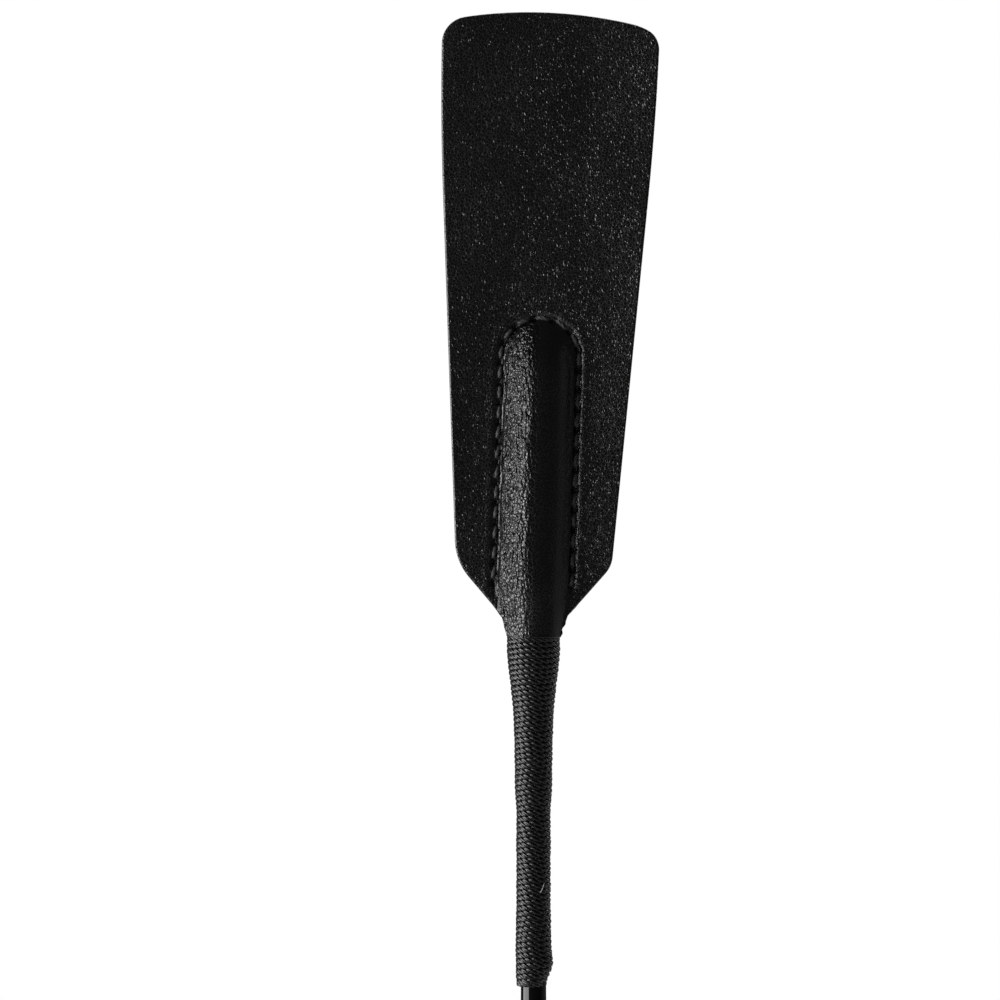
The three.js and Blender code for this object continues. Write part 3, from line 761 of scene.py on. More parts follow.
def pocket_size(w, inset):
    """Half the pocket's width and its rise from the middle plane, which both grow from the neck."""
    full = smoothstep(w, 0.2, 13)
    half = POCKET_NECK_R + (POCKET_R - POCKET_NECK_R) * full - inset
    rise = POCKET_NECK_RISE + (POCKET_RISE - POCKET_NECK_RISE) * full - inset
    return half, rise


def pocket_height(u, w, inset):
    """Distance of the pocket's outside, or with an inset its cavity, from the keeper's middle plane."""
    half, rise = pocket_size(w, inset)
    across = u - pocket_axis(w)
    round_end = np.hypot(across, np.maximum(w - POCKET_END, 0)) / half
    oval = rise * np.sqrt(np.maximum(1 - round_end**2, 0))
    if inset == 0:
        sloped_end = np.hypot(across, END_SLOPE * np.maximum(w - END_START, 0)) / half
        share = np.minimum(sloped_end, 1.1) ** 2
        arched = FACE + (rise - FACE) * (1 - share) * (1 + ARCH_FULLNESS * share)
        oval = oval + (np.maximum(arched, 0) - oval) * smoothstep(w, NECK_EDGE, 9)
    tail = tail_radius(w) - inset
    root = tail + (POCKET_NECK_R - inset - tail) * smoothstep(w, NECK_ROOT, NECK_EDGE)
    bound = np.sqrt(np.maximum(root**2 - across**2, 0))
    return np.where(w < NECK_EDGE, bound, oval)


def soft_max(a, b, blend):
    """The larger of two heights, with the corner between them filled to a small radius."""
    near = np.clip(0.5 + 0.5 * (a - b) / blend, 0, 1)
    return b + (a - b) * near + blend * near * (1 - near)


SEAM_SWAY = rng.normal(0, 1, 400)


def sway(length, spacing, size):
    """A smooth random wander along the seam."""
    return size * np.interp(length, np.arange(len(SEAM_SWAY)) * spacing - 20, SEAM_SWAY)


def leather_surface(u, w, side):
    """Distance of the leather's outside from the middle plane."""
    flat = np.where(w > NECK_EDGE, FACE, 0.2) + 0.0 * u
    height = soft_max(pocket_height(u, w, 0.0), flat, 0.6 + 0.7 * smoothstep(u, 1, 5))
    wave = 0.05 * np.sin(0.19 * w + 0.23 * u) + 0.05 * np.sin(0.11 * w - 0.31 * u + 1.7)
    height = height + wave * smoothstep(w, 4, 14) + wrinkles(u, w)
    distance, length = seam_distance(u, w)
    if side > 0:
        length = length + STITCH_PITCH / 2
    on_seam = smoothstep(length, -1.6, 0.2) * (1 - smoothstep(length, SEAM_LENGTH - 0.4, SEAM_LENGTH + 1.2))
    on_seam = on_seam * (w > 4)
    phase = np.mod(length, STITCH_PITCH)
    hole = 0.5 * (STITCH_PITCH + STITCH_LENGTH)
    to_hole = np.abs(np.mod(phase - hole + STITCH_PITCH / 2, STITCH_PITCH) - STITCH_PITCH / 2)
    at_hole = 1 - smoothstep(to_hole, 0.45, 1.0)
    ragged = 0.16 * value_noise(u * 1.1, w * 0.9, 31)
    wall = OUTER_WALL - (OUTER_WALL - OUTER_WALL_RIGHT) * smoothstep(u, 2, 5)
    outer_wall = (distance - GROOVE_HALF - ragged) / wall
    inner_wall = (-distance - GROOVE_HALF - sway(length, 1.7, 0.12)) / INNER_WALL
    trench = 1 - smoothstep(np.maximum(outer_wall, inner_wall), -0.5, 0.5)
    pull = 0.5 * np.exp(-((distance / 0.55) ** 2)) * at_hole
    pucker = 0.1 * np.exp(-(((distance - 1.5) / 0.6) ** 2)) * (1 - 0.5 * at_hole)
    shallow = smoothstep(distance, -0.2, 0.3) * (1 - smoothstep(u, -4, 0))
    depth = GROOVE_DEPTH * (1 - 0.7 * shallow)
    height = height - on_seam * (depth * trench + pull - pucker)
    inside = outline_distance(u, w)
    from_round = np.clip(EDGE_ROUND - inside, 0, EDGE_ROUND)
    drop = EDGE_ROUND - np.sqrt(np.maximum(EDGE_ROUND**2 - from_round**2, 0))
    return np.where(w > NECK_EDGE, height - drop, height)


def on_pocket(u, w):
    """1 on the pocket, falling to 0 at its foot."""
    across = u - pocket_axis(w)
    from_axis = np.hypot(across, np.maximum(w - POCKET_END, 0))
    return 1 - smoothstep(from_axis, POCKET_R - 0.4, POCKET_R + 0.4)


def gathered(u, w):
    """1 on the left of the pocket, where the leather was gathered into small folds."""
    return on_pocket(u, w) * (1 - smoothstep(u, -3.0, -0.8)) * smoothstep(w, 0, 6)


def wrinkles(u, w):
    """Fine creases along the left of the pocket."""
    bend = 1.4 * value_noise(u * 0.2, w * 0.16, 21)
    folds = value_noise(u * 1.25 + bend, w * 0.33 + bend, 22) + 0.6 * value_noise(u * 2.1, w * 0.9, 23)
    return WRINKLE_HEIGHT * gathered(u, w) * folds


def grain_depth(u, w):
    """Depth of the leather's grain: gathered deep on the pocket's left, drawn smooth on its right."""
    drawn = smoothstep(u - pocket_axis(w), -2.0, 0.8)
    pocket = GATHERED_GRAIN * (1 - drawn) + DRAWN_GRAIN * drawn
    return FLAP_GRAIN + on_pocket(u, w) * (pocket - FLAP_GRAIN)


def stretched(u, w):
    """1 on a narrow wavering band along the pocket's left foot, where the leather is pulled smooth."""
    distance, length = seam_distance(u, w)
    foot = -0.95 - 0.35 * value_noise(w * 0.35, w * 0.0, 51)
    return np.exp(-(((distance - foot) / 0.3) ** 2)) * smoothstep(length, SEAM_LENGTH / 2, SEAM_LENGTH * 0.6)


def dish(u, w):
    """How far the whole flap curls towards the front: a little at its sides, most on the right."""
    right = 0.07 * np.maximum(u - 6, 0) ** 1.5 / 3
    left = 0.05 * np.maximum(-u - 7, 0) ** 1.5 / 3 * (1 - smoothstep(w, 45, 85))
    return (right + left) * smoothstep(w, 6, 26)


def keeper_point(u, y, w):
    """A point of the keeper's leaning frame, in metres in the row frame. Below the neck nothing leans."""
    lean = np.where(w > 0, LEAN, 0.0)
    x = u * np.cos(lean) + w * np.sin(lean)
    z = -u * np.sin(lean) + w * np.cos(lean)
    return np.stack([x * MM, y * MM, NECK_Z + z * MM], -1)


def keeper_surface_point(u, height, w, side):
    """A point at a height over the middle plane on one side of the dished keeper."""
    return keeper_point(u, side * height - dish(u, w), w)


def keeper_leather(name, side):
    """One leather of the keeper, from its tail under the whipping to the free end, with its cut edge."""
    u, w = keeper_grid()
    rows, cols = u.shape
    outside = leather_surface(u, w, side)
    cavity = pocket_height(u, w, LEATHER)
    inside = np.maximum(cavity, PLY_GAP)
    inside = np.minimum(inside, outside - 0.15)
    surfaces = (outside, inside)
    points = np.concatenate([keeper_surface_point(u, h, w, side).reshape(-1, 3) for h in surfaces])
    rest = np.concatenate([np.stack([u, side * h, w], -1).reshape(-1, 3) for h in surfaces])
    even = 1 - 0.8 * stretched(u, w)
    worn = (1 - 0.35 * smoothstep(-u, 2, 9)) * (1 - 0.25 * smoothstep(w, 60, 80))
    layers = [grain_depth(u, w) * even, gathered(u, w) * even, (1 - on_pocket(u, w)) * worn]
    grain = np.tile(np.stack(layers, -1).reshape(-1, 3), (2, 1))
    count = rows * cols
    outer = grid_faces(rows, cols)
    inner = grid_faces(rows, cols, start=count)[:, ::-1]
    ring = np.concatenate(
        [
            np.arange(cols),
            np.arange(1, rows) * cols + cols - 1,
            (rows - 1) * cols + np.arange(cols - 2, -1, -1),
            np.arange(rows - 2, 0, -1) * cols,
        ]
    )
    after = np.roll(ring, -1)
    wall = np.stack([after, ring, ring + count, after + count], -1)
    polygons = np.concatenate([outer, inner, wall])
    indices = np.concatenate([np.zeros(len(outer) + len(inner), int), np.ones(len(wall), int)])
    leathers = [MATERIALS["keeper"], MATERIALS["edge"]]
    obj = make_object(name, points, list(polygons), leathers, {"rest": rest, "grain": grain}, indices)
    if side > 0:
        obj.data.flip_normals()
    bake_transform(obj)
    return obj


def seam_place(length):
    """(u, w) of a point on the seam, its direction along the seam, from its lower right end."""
    leg = POCKET_END - SEAM_LOW_RIGHT
    arc = SEAM_HALF * math.pi
    if length < leg:
        return np.array([POCKET_SHIFT + SEAM_HALF, SEAM_LOW_RIGHT + length]), np.array([0.0, 1.0])
    if length < leg + arc:
        a = (length - leg) / SEAM_HALF
        return (
            np.array([POCKET_SHIFT + SEAM_HALF * math.cos(a), POCKET_END + SEAM_HALF * math.sin(a)]),
            np.array([-math.sin(a), math.cos(a)]),
        )
    return np.array([POCKET_SHIFT - SEAM_HALF, POCKET_END - (length - leg - arc)]), np.array([0.0, -1.0])


def keeper_seam(name, side):
    """The seam's stitches on one face: each rises from one hole and goes down into the next."""
    pieces = []
    for k in range(STITCHES):
        start = k * STITCH_PITCH - (STITCH_PITCH / 2 if side > 0 else 0)
        if start < 0:
            continue
        t = np.linspace(0, 1, 15)
        slant = 0.16 + rng.normal(0, 0.09)
        lift = rng.normal(0.55, 0.06)
        path = []
        for share in t:
            place, heading = seam_place(start + STITCH_LENGTH * share)
            across = np.array([heading[1], -heading[0]])
            place = place + across * slant * (share - 0.5) * 2
            crown = math.sin(math.pi * share) ** 0.45
            path.append([place[0], place[1], crown])
        path = np.array(path)
        surface = leather_surface(path[:, 0], path[:, 1], side)
        spots = keeper_surface_point(path[:, 0], surface - 0.45 + lift * path[:, 2], path[:, 1], side) / MM
        outward = np.tile([0.0, float(side), 0.0], (len(spots), 1)) + 1e-6
        pieces.append(thread_mesh(spots, outward, 0.5, lay=3.2, section=12, offset=0.36, flat=0.78))
    points, polygons = join_meshes(pieces)
    obj = make_object(name, points * MM, polygons, [MATERIALS["seam"]])
    face_outwards(obj)
    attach(obj, "stick")
    return obj


# ------------------------------------------------------------------ whipping

STEPS_EACH_TURN = 80
THREAD_SECTION = 18
PLY_OFFSET = 0.5
THREAD_PRESSED = 0.48


def wind(name, profile, half_width, flat, plies=4, lay=3.9, end_angle=-250, bulge=None, seed=3):
    """Thread wound closely from the top down. profile gives the winding's outside as [height, radius]."""
    heights, radii = (np.array(column, float) for column in zip(*profile))
    shaky = np.random.default_rng(seed)
    top, low = heights[0] - half_width, heights[-1] + half_width
    turns = (top - low) / WHIP_PITCH
    turn = np.linspace(0, turns, int(turns * STEPS_EACH_TURN))
    knots = int(turns) + 2
    slip = np.interp(turn, np.arange(knots), shaky.normal(0, 0.03, knots))
    lift = np.interp(turn, np.arange(knots), shaky.normal(0, 0.025, knots))
    level = 0.9
    sunk = np.clip(turn - level, 0, turns - 2 * level) * turns / (turns - 2 * level)
    z = top - WHIP_PITCH * sunk + slip * (turn > 1) * (turn < turns - 1)
    angle = math.radians(end_angle) + 2 * math.pi * (turns - turn)
    r = np.interp(-z, -heights, radii) - half_width * flat + lift
    if bulge is not None:
        r = r + bulge(angle, z)
    path = np.stack([r * np.cos(angle), r * np.sin(angle), z], -1)
    outward = np.stack([np.cos(angle), np.sin(angle), 0 * z], -1)
    shape = (plies, lay, THREAD_SECTION, PLY_OFFSET, flat, THREAD_PRESSED)
    points, polygons = thread_mesh(path, outward, half_width, *shape)
    obj = make_object(name, points * MM, polygons, [MATERIALS["whipping"]])
    face_outwards(obj)
    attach(obj, "stick")
    return obj


def tip_whipping():
    """The whipping that binds the keeper's tails to the shaft, with a knot low on its right."""
    low = WHIP_LOW
    profile = [
        [0.6, 5.3],
        [-3, 5.38],
        [-5, 5.2],
        [-10, 4.6],
        [-14, 4.15],
        [-20.6, 3.9],
        [-31, 3.75],
        [-32.6, 3.62],
        [-34, 3.47],
        [-54, 3.5],
        [-62.5, 3.62],
        [low + 3, 3.58],
        [low, 3.4],
    ]
    base = NECK_Z / MM

    def knot(angle, z):
        facing = np.clip(np.cos(angle + 0.35), 0, 1) ** 2
        drawn_in = 1.0 * smoothstep(base + low + 4.4 - z, 0, 4) * facing
        return 0.42 * np.exp(-(((z - base + 65) / 1.9) ** 2)) * facing - drawn_in

    heights = [[base + h, r] for h, r in profile]
    obj = wind("tip_whipping_thread", heights, 0.64, 0.7, plies=3, lay=4.0, bulge=knot)
    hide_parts("tip_whipping")
    return obj


def stray_fibre():
    """A fibre of the whipping thread that has worked loose on the right."""
    base = NECK_Z / MM
    start = np.array([1.3, -3.7, base - 50.8])
    bend = np.array([1.75, -4.0, base - 50.3])
    end = np.array([2.1, -3.75, base - 49.0])
    t = np.linspace(0, 1, 12)[:, None]
    path = (1 - t) ** 2 * start + 2 * t * (1 - t) * bend + t**2 * end
    outward = np.tile([0.0, -1.0, 0.0], (12, 1))
    points, polygons = thread_mesh(path, outward, 0.075, section=6, offset=0)
    obj = make_object("stray_fibre", points * MM, polygons, [MATERIALS["fibre"]])
    face_outwards(obj)
    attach(obj, "stick")
    return obj


# ------------------------------------------------------------------ shaft and grip


def shaft_cover():
    """The shaft's gloss cover, tapering from the grip to the keeper."""
    low = node_low("shaft_cover").z / MM
    high = node_high("shaft_cover").z / MM
    whip = NECK_Z / MM + WHIP_LOW
    heights = np.concatenate([np.linspace(low, whip, 40), np.linspace(whip + 1, whip + 25, 8), [high]])
    radii = np.interp(heights, [low, whip, whip + 25, high], [COVER_GRIP_R, 2.53, COVER_TIP_R, COVER_TIP_R])
    outer = list(zip(radii, heights))
    inner = [(r - 0.5, z) for r, z in reversed(outer)]
    obj = turned("shaft_cover_gloss", outer + inner, MATERIALS["cover"], closed=True)
    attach(obj, "stick")
    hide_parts("shaft_cover")
    return obj


GRIP_BACK = node_low("grip_hide").z / MM
GRIP_FRONT = node_high("grip_hide").z / MM
GRIP_TAPER_START = node_low("grip_whipping").z / MM
SKIRT_TOP = node_high("butt_cap").z / MM
GRIP_R = 8.9
GRIP_SLOPE = 0.0085
GRIP_SWELL = 0.5
GRIP_SWELL_LENGTH = 160.0
GRIP_DRAW = 2.1


def grip_radius(z):
    """Outside of the hide: swollen at the middle of the grip, drawn in at its front."""
    swell = GRIP_R - GRIP_SLOPE * z + GRIP_SWELL * np.cos(math.pi * z / GRIP_SWELL_LENGTH)
    drawn = np.maximum(0, z - GRIP_TAPER_START) / (GRIP_FRONT - GRIP_TAPER_START)
    return swell - GRIP_DRAW * drawn


def grip_hide():
    """The grip's hide: one skin drawn round the core, its edges turned in to a butt seam at the back."""
    facets, rows = 180, 260
    z = np.linspace(GRIP_BACK, GRIP_FRONT, rows)[:, None]
    angle = np.linspace(0, 2 * math.pi, facets, endpoint=False)[None, :]
    from_seam = np.abs(np.mod(angle - math.pi / 2 + math.pi, 2 * math.pi) - math.pi)
    across = from_seam * grip_radius(z)
    folds = 0.05 * np.sin(0.55 * z + 2.2 * np.sin(angle * 2) + 0.8 * np.sin(0.13 * z))
    folds = folds * (0.4 + 0.6 * np.cos(angle + 0.7) ** 2)
    seam = 0.75 * np.exp(-((across / 0.3) ** 2)) - 0.14 * np.exp(-(((across - 1.0) / 0.7) ** 2))
    pulled = 0.12 * np.exp(-(((across - 2.0) / 0.5) ** 2)) * (0.5 + 0.5 * np.cos(2 * math.pi * z / 3.5))
    outer = grip_radius(z) + folds - seam - pulled - 0.05
    inner = grip_radius(z) - 1.2 + 0 * angle
    points = []
    for r in (outer, inner):
        points.append(np.stack([r * np.cos(angle), r * np.sin(angle), z + 0 * angle], -1).reshape(-1, 3))
    count = rows * facets
    polygons = list(grid_faces(rows, facets, closed=True))
    polygons += list(grid_faces(rows, facets, closed=True, start=count)[:, ::-1])
    first = np.arange(facets)
    after = (first + 1) % facets
    for base in (0, (rows - 1) * facets):
        ends = np.stack([base + first, base + after, base + after + count, base + first + count], -1)
        polygons += list(ends if base else ends[:, ::-1])
    obj = make_object("grip_hide_leather", np.concatenate(points) * MM, polygons, [MATERIALS["grip"]])
    face_outwards(obj)
    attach(obj, "stick")
    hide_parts("grip_hide")
    return obj


def grip_seam():
    """Cross stitches that lace the hide's edges together up the back of the grip."""
    pitch = 3.5
    low = SKIRT_TOP + 2.5
    high = GRIP_TAPER_START - 2.5
    pieces = []
    for k in range(int((high - low) / pitch)):
        z = low + k * pitch
        for lean, lift in ((1, 0.0), (-1, 0.1)):
            t = np.linspace(0, 1, 13)
            across = lean * 2.0 * (2 * t - 1)
            height = z + pitch * t
            sunk = 0.45 * (1 - np.sin(math.pi * t) ** 0.4)
            r = grip_radius(height) + 0.16 + lift - sunk
            a = math.pi / 2 - across / grip_radius(height)
            path = np.stack([r * np.cos(a), r * np.sin(a), height], -1)
            outward = np.stack([np.cos(a), np.sin(a), 0 * a], -1)
            pieces.append(thread_mesh(path, outward, 0.3, lay=2.2, section=12))
    points, polygons = join_meshes(pieces)
    obj = make_object("grip_seam_stitches", points * MM, polygons, [MATERIALS["seam"]])
    face_outwards(obj)
    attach(obj, "stick")
    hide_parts("grip_seam")
    return obj


def grip_whipping():
    """Whipping that draws the hide's front end in to the shaft."""
    thick = 0.94
    profile = [
        [node_high("grip_whipping").z / MM, COVER_GRIP_R + thick],
        [GRIP_FRONT + 2.2, COVER_GRIP_R + thick],
        [GRIP_FRONT + 0.2, float(grip_radius(GRIP_FRONT)) - 0.5],
        [GRIP_FRONT - 1.2, float(grip_radius(GRIP_FRONT - 1.2)) + thick],
        [GRIP_TAPER_START, float(grip_radius(GRIP_TAPER_START)) + thick],
    ]
    obj = wind("grip_whipping_thread", profile, 0.56, 0.86, end_angle=90, seed=11)
    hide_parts("grip_whipping")
    return obj


# ------------------------------------------------------------------ butt cap, pin, strap and rivet


def cutter(points, polygons):
    obj = make_object("cutter", points, polygons, [])
    face_outwards(obj)
    return obj


def cut(obj, tool):
    """Cuts the tool's shape out of obj for good."""
    modifier = obj.modifiers.new("cut", "BOOLEAN")
    modifier.object = tool
    modifier.operation = "DIFFERENCE"
    modifier.solver = "EXACT"
    depsgraph = bpy.context.evaluated_depsgraph_get()
    mesh = bpy.data.meshes.new_from_object(obj.evaluated_get(depsgraph))
    obj.modifiers.clear()
    obj.data = mesh
    bpy.data.objects.remove(tool)


def soften(obj, width, angle=35, segments=3):
    """Rounds a piece's sharp edges, for good, and shades it smooth."""
    modifier = obj.modifiers.new("bevel", "BEVEL")
    modifier.width = width
    modifier.segments = segments
    modifier.limit_method = "ANGLE"
    modifier.angle_limit = math.radians(angle)
    modifier.harden_normals = False
    depsgraph = bpy.context.evaluated_depsgraph_get()
    mesh = bpy.data.meshes.new_from_object(obj.evaluated_get(depsgraph))
    obj.modifiers.clear()
    obj.data = mesh
    obj.data.polygons.foreach_set("use_smooth", np.ones(len(mesh.polygons), bool))
    obj.data.set_sharp_from_angle(angle=math.radians(40))


CAP_END = node_low("butt_cap").z / MM
PIN_HOLE_R = 1.62


def butt_cap():
    """The flared cap on the grip's end, with the mortise that the strap hangs in."""
    outer = [
        [11.5, CAP_END],
        [12.5, CAP_END + 0.7],
        [13.0, CAP_END + 2.4],
        [13.0, CAP_END + 7.5],
        [12.6, CAP_END + 10.5],
        [11.9, CAP_END + 14],
        [11.5, CAP_END + 18],
        [11.4, CAP_END + 21],
        [11.25, CAP_END + 25.4],
        [10.9, SKIRT_TOP],
        [10.2, SKIRT_TOP],
        [9.95, SKIRT_TOP - 0.4],
        [9.9, CAP_END + 18.2],
        [3.5, CAP_END + 18.2],
        [3.5, CAP_END + 13.3],
    ]
    obj = turned("butt_cap_moulded", outer, MATERIALS["plastic"], facets=96)
    mortise = [[-4, 10.0], [-7.5, -1.0], [7.5, -1.0], [4, 10.0]]
    half = 5.6
    corners = [[x, y, CAP_END + h] for x in (-half, half) for y, h in mortise]
    box = [[0, 1, 2, 3], [7, 6, 5, 4], [0, 4, 5, 1], [1, 5, 6, 2], [2, 6, 7, 3], [3, 7, 4, 0]]
    cut(obj, cutter(np.array(corners) * MM, box))
    angle = np.linspace(0, 2 * math.pi, 32, endpoint=False)
    across = PIN_HOLE_R * np.cos(angle)
    height = PIN_Z / MM + PIN_HOLE_R * np.sin(angle)
    hole = [np.stack([x + 0 * angle, across, height], -1) for x in (-15, 15)]
    rim = np.arange(32)
    sides = np.stack([rim, (rim + 1) % 32, (rim + 1) % 32 + 32, rim + 32], -1)
    cut(obj, cutter(np.concatenate(hole) * MM, list(sides) + [rim[::-1], rim + 32]))
    soften(obj, 0.25 * MM)
    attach(obj, "stick")
    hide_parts("butt_cap")
    return obj


def cap_pin():
    """The strap's cross pin, its ends slightly domed."""
    reach = node_high("cap_pin").x / MM
    radius = node_high("cap_pin").y / MM
    ends = [[0.02, -reach], [0.9, -reach + 0.08], [1.3, -reach + 0.25], [radius, -reach + 0.6]]
    profile = ends + [[r, -x] for r, x in reversed(ends)]
    obj = turned("strap_pin", profile, MATERIALS["nickel"], facets=48)
    co = np.array([v.co for v in obj.data.vertices])
    co = np.stack([co[:, 2], co[:, 1], co[:, 0]], -1) + [0, 0, PIN_Z]
    obj.data.vertices.foreach_set("co", co.astype(np.float32).ravel())
    face_outwards(obj)
    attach(obj, "stick")
    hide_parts("cap_pin")
    return obj


STRAP_THICK = 1.6
STRAP_WIDTH = node_high("wrist_strap").x * 2 / MM
STRAP_STEM = 20.0
STRAP_DROP = 132.0
STRAP_SPREAD = 23.0
RIVET_BELOW_PIN = 14.0


def strap_path():
    """The strap's middle line as [y, z] points: up one side, over the pin, down and round the loop."""
    stem = STRAP_THICK / 2 + 0.05
    pin = PIN_Z / MM
    over = 1.9 + STRAP_THICK / 2
    t = np.linspace(0, 1, 80)[:, None]
    top = np.array([stem, pin - STRAP_STEM])
    leg = (
        (1 - t) ** 3 * top
        + 3 * (1 - t) ** 2 * t * np.array([1.0, pin - STRAP_STEM - 32])
        + 3 * (1 - t) * t**2 * np.array([STRAP_SPREAD * 1.85, pin - STRAP_DROP])
        + t**3 * np.array([0.0, pin - STRAP_DROP])
    )
    turn = np.linspace(0, math.pi, 40)[:, None]
    eye = np.concatenate([over * np.cos(turn), pin + over * np.sin(turn)], 1)
    rise = np.linspace(0, 1, 30)[:, None]
    ease = rise * rise * (3 - 2 * rise)
    shoulder = np.concatenate([over + (stem - over) * ease, pin - 8 * rise], 1)
    straight = np.array([[stem, pin - 8.5 - k] for k in range(0, 12)])
    right = np.concatenate([shoulder, straight, leg[1:]])
    left = right * [-1, 1]
    whole = np.concatenate([left[::-1], eye[::-1][1:-1], right])
    return whole[:-1]


def wrist_strap():
    """The wrist strap: a band with rounded, creased edges, folded over the pin and riveted."""
    path = strap_path()
    length = np.concatenate([[0], np.cumsum(np.linalg.norm(np.diff(path, axis=0), axis=1))])
    even = np.linspace(0, length[-1], 420)
    path = np.stack([np.interp(even, length, path[:, 0]), np.interp(even, length, path[:, 1])], -1)
    kernel = np.ones(5) / 5
    padded = np.concatenate([path[-4:], path, path[:4]])
    path = np.stack([np.convolve(padded[:, i], kernel, "same")[4:-4] for i in range(2)], -1)
    heading = np.roll(path, -1, axis=0) - np.roll(path, 1, axis=0)
    heading /= np.linalg.norm(heading, axis=1)[:, None]
    out = np.stack([heading[:, 1], -heading[:, 0]], -1)
    half, thick, edge = STRAP_WIDTH / 2, STRAP_THICK / 2, 0.45
    across = np.concatenate([np.linspace(-half + edge, half - edge, 25)])
    crease = 0.13 * np.exp(-(((np.abs(across) - half + 1.3) / 0.28) ** 2))
    upper = [[x, thick - c] for x, c in zip(across, crease)]
    lower = [[x, -thick + c * 0.4] for x, c in zip(across[::-1], crease[::-1])]
    corner = np.linspace(0, math.pi, 9)[1:-1]
    right = [[half - edge + edge * math.sin(a), (thick - 0.05) * math.cos(a)] for a in corner]
    left = [[-half + edge - edge * math.sin(a), -(thick - 0.05) * math.cos(a)] for a in corner]
    section = np.array(upper + right + lower + left)
    y = path[:, 0, None] + out[:, 0, None] * section[None, :, 1]
    z = path[:, 1, None] + out[:, 1, None] * section[None, :, 1]
    x = np.broadcast_to(section[None, :, 0], y.shape)
    points = np.stack([x, y, z], -1).reshape(-1, 3)
    rows, cols = y.shape
    polygons = list(grid_faces(rows, cols, closed=True))
    first = np.arange(cols)
    after = (first + 1) % cols
    base = (rows - 1) * cols
    polygons += list(np.stack([base + first, base + after, after, first], -1))
    obj = make_object("wrist_strap_leather", points * MM, polygons, [MATERIALS["strap"]])
    face_outwards(obj)
    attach(obj, "strap")
    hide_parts("wrist_strap")
    return obj


def rivet_half(name, node, side):
    """One domed half of the strap's rivet."""
    surface = STRAP_THICK + 0.07
    dome = [
        [0.02, surface + 1.2],
        [1.0, surface + 1.14],
        [2.0, surface + 0.92],
        [2.7, surface + 0.6],
        [3.05, surface + 0.3],
        [3.1, surface + 0.12],
        [3.0, surface],
        [1.35, surface],
        [1.35, 0.1],
        [0.02, 0.1],
    ]
    obj = turned(name, dome, MATERIALS["nickel"], facets=64)
    co = np.array([v.co for v in obj.data.vertices])
    co = np.stack([co[:, 0], side * co[:, 2], co[:, 1]], -1) + [0, 0, PIN_Z - RIVET_BELOW_PIN * MM]
    obj.data.vertices.foreach_set("co", co.astype(np.float32).ravel())
    face_outwards(obj)
    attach(obj, "strap")
    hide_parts(node)
    return obj


# ------------------------------------------------------------------ the pieces


def build_crop():
    for name, side in (("front", -1), ("back", 1)):
        leather = keeper_leather(f"keeper_{name}_leather", side)
        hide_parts(f"keeper_{name}", f"keeper_{name}_tip")
        stitches = keeper_seam(f"keeper_seam_{name}_stitches", side)
        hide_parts(f"keeper_seam_{name}")
    tip_whipping()
    stray_fibre()
    shaft_cover()
    grip_hide()
    grip_seam()
    grip_whipping()
    butt_cap()
    cap_pin()
    wrist_strap()
    rivet_half("rivet_head", "strap_rivet", -1)
    rivet_half("rivet_cap", "strap_rivet_cap", 1)


def dress_hidden_nodes():
    """The solids inside the grip and the pocket keep their CAD shape."""
    for node, material in (
        ("rod", "fibreglass"),
        ("rod_end_cap", "plastic"),
        ("pocket_padding", "felt"),
        ("grip_core", "wood"),
    ):
        obj = frame["nodes"][node]
        if not obj.material_slots:
            obj.data.materials.append(None)
        for slot in obj.material_slots:
            slot.link = "OBJECT"
            slot.material = MATERIALS[material]


# ------------------------------------------------------------------ floor, light and camera

FRAME_WIDTH = 0.2
FRAME_CENTRE = Vector((-0.0067, 0.0, NECK_Z + 0.0274))
CAMERA_DISTANCE = 0.9
SENSOR = 36.0
LEFT_PANEL_POWER = 10.5
RIGHT_PANEL_POWER = 0.5
FLOOR_PANEL_POWER = 22.0
SURROUND_STRENGTH = 0.062


def floor():
    """A plain pale floor some way under the hanging strap."""
    radius, facets = 1.6, 128
    angle = np.linspace(0, 2 * math.pi, facets, endpoint=False)
    z = cad_box[0].z - 0.06
    rim = np.stack([radius * np.cos(angle), radius * np.sin(angle), z + 0 * angle], -1)
    n = Nodes("studio_floor")
    tone = n.noise(n.place(scale=(1, 1, 1)), 2.0, 3.0)
    colour = n.colour(tone, (0.83, 0.83, 0.82), (0.87, 0.87, 0.86))
    material = n.finish(colour, n.spread(tone, 0.3, 0.7, 0.6, 0.75), None)
    obj = make_object("studio_floor", rim, [np.arange(facets)], [material])
    return obj


def panel(name, place, target, width, height, power, colour=(1, 1, 1)):
    """A soft rectangular studio light that faces a target and isn't seen itself."""
    data = bpy.data.lights.new(name, "AREA")
    data.shape = "RECTANGLE"
    data.size = width
    data.size_y = height
    data.energy = power
    data.color = colour
    obj = bpy.data.objects.new(name, data)
    obj.location = place
    obj.rotation_euler = (Vector(target) - Vector(place)).to_track_quat("-Z", "Y").to_euler()
    obj.visible_camera = False
    bpy.context.scene.collection.objects.link(obj)
    return obj


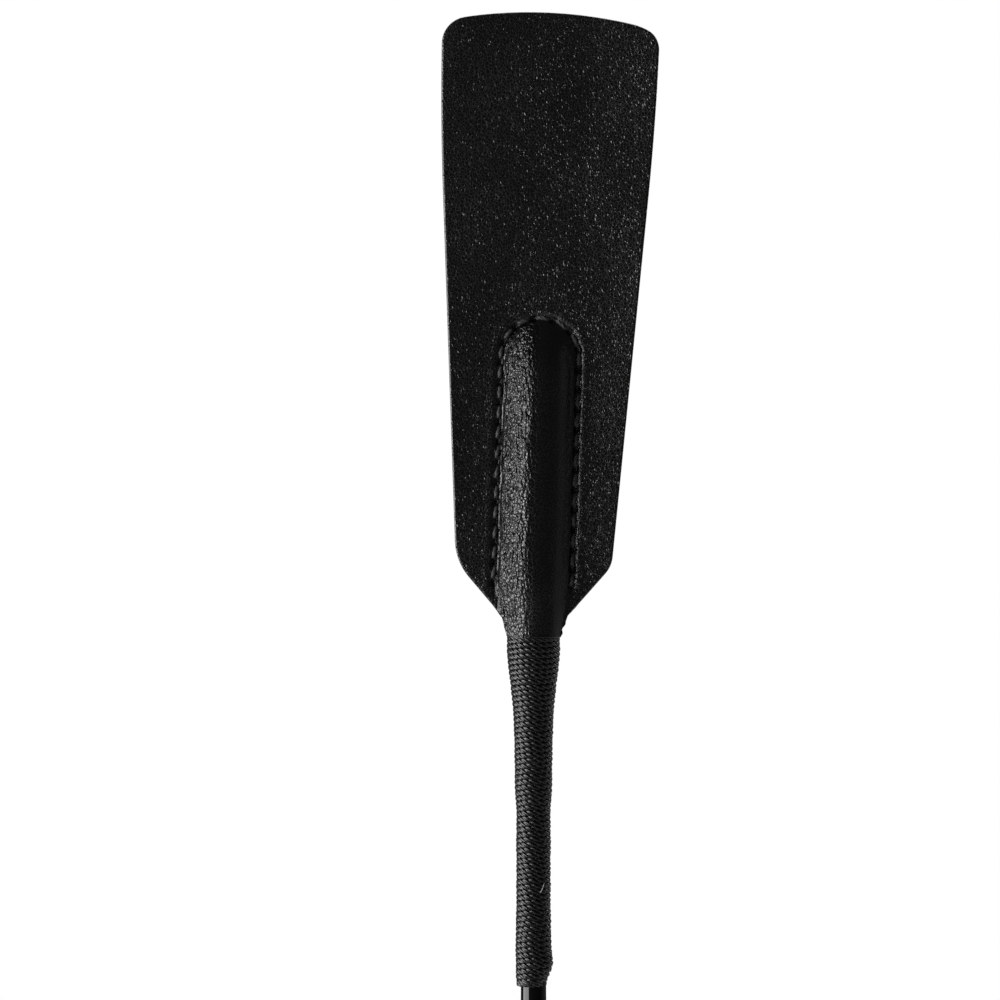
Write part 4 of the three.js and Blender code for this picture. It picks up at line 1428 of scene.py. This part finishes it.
def studio():
    centre = FRAME_CENTRE
    wall = -0.6
    near, far = -0.6, 0.17
    middle = Vector((wall, (near + far) / 2, centre.z))
    panel("left_panel", middle, middle + Vector((1, 0, 0)), far - near, 0.45, LEFT_PANEL_POWER)
    panel("right_panel", (1.0, 0.3, centre.z), centre, 1.0, 1.2, RIGHT_PANEL_POWER)
    panel("back_top_panel", (0.5, 1.0, centre.z + 1.3), centre, 0.9, 0.9, 6)
    panel("low_back_panel", (0.7, 1.1, 0.9), (0, 0, 0), 0.8, 0.8, 6)
    panel("floor_panel", (0.0, 1.4, centre.z + 1.6), (0.0, 1.4, 0.0), 2.4, 1.6, FLOOR_PANEL_POWER)
    world = bpy.data.worlds.new("studio")
    bpy.context.scene.world = world
    world.use_nodes = True
    tree = world.node_tree
    seen = tree.nodes.new("ShaderNodeLightPath")
    white = tree.nodes["Background"]
    white.inputs["Color"].default_value = (1, 1, 1, 1)
    dim = tree.nodes.new("ShaderNodeBackground")
    dim.inputs["Color"].default_value = (0.94, 1.0, 0.9, 1)
    dim.inputs["Strength"].default_value = SURROUND_STRENGTH
    mix = tree.nodes.new("ShaderNodeMixShader")
    tree.links.new(seen.outputs["Is Camera Ray"], mix.inputs["Fac"])
    tree.links.new(dim.outputs["Background"], mix.inputs[1])
    tree.links.new(white.outputs["Background"], mix.inputs[2])
    tree.links.new(mix.outputs["Shader"], tree.nodes["World Output"].inputs["Surface"])
    bpy.context.scene.view_settings.view_transform = "Standard"
    bpy.context.scene.view_settings.look = "None"


def camera():
    """The camera looks level along +Y at the keeper, from far enough to flatten it as a long lens does."""
    data = bpy.data.cameras.new("camera")
    data.sensor_width = SENSOR
    data.lens = SENSOR * CAMERA_DISTANCE / FRAME_WIDTH
    data.clip_end = 50
    obj = bpy.data.objects.new("camera", data)
    obj.location = FRAME_CENTRE + Vector((0, -CAMERA_DISTANCE, 0))
    obj.rotation_euler = (math.pi / 2, 0, 0)
    bpy.context.scene.collection.objects.link(obj)
    bpy.context.scene.camera = obj


camera()
build_crop()
dress_hidden_nodes()
floor()
studio()
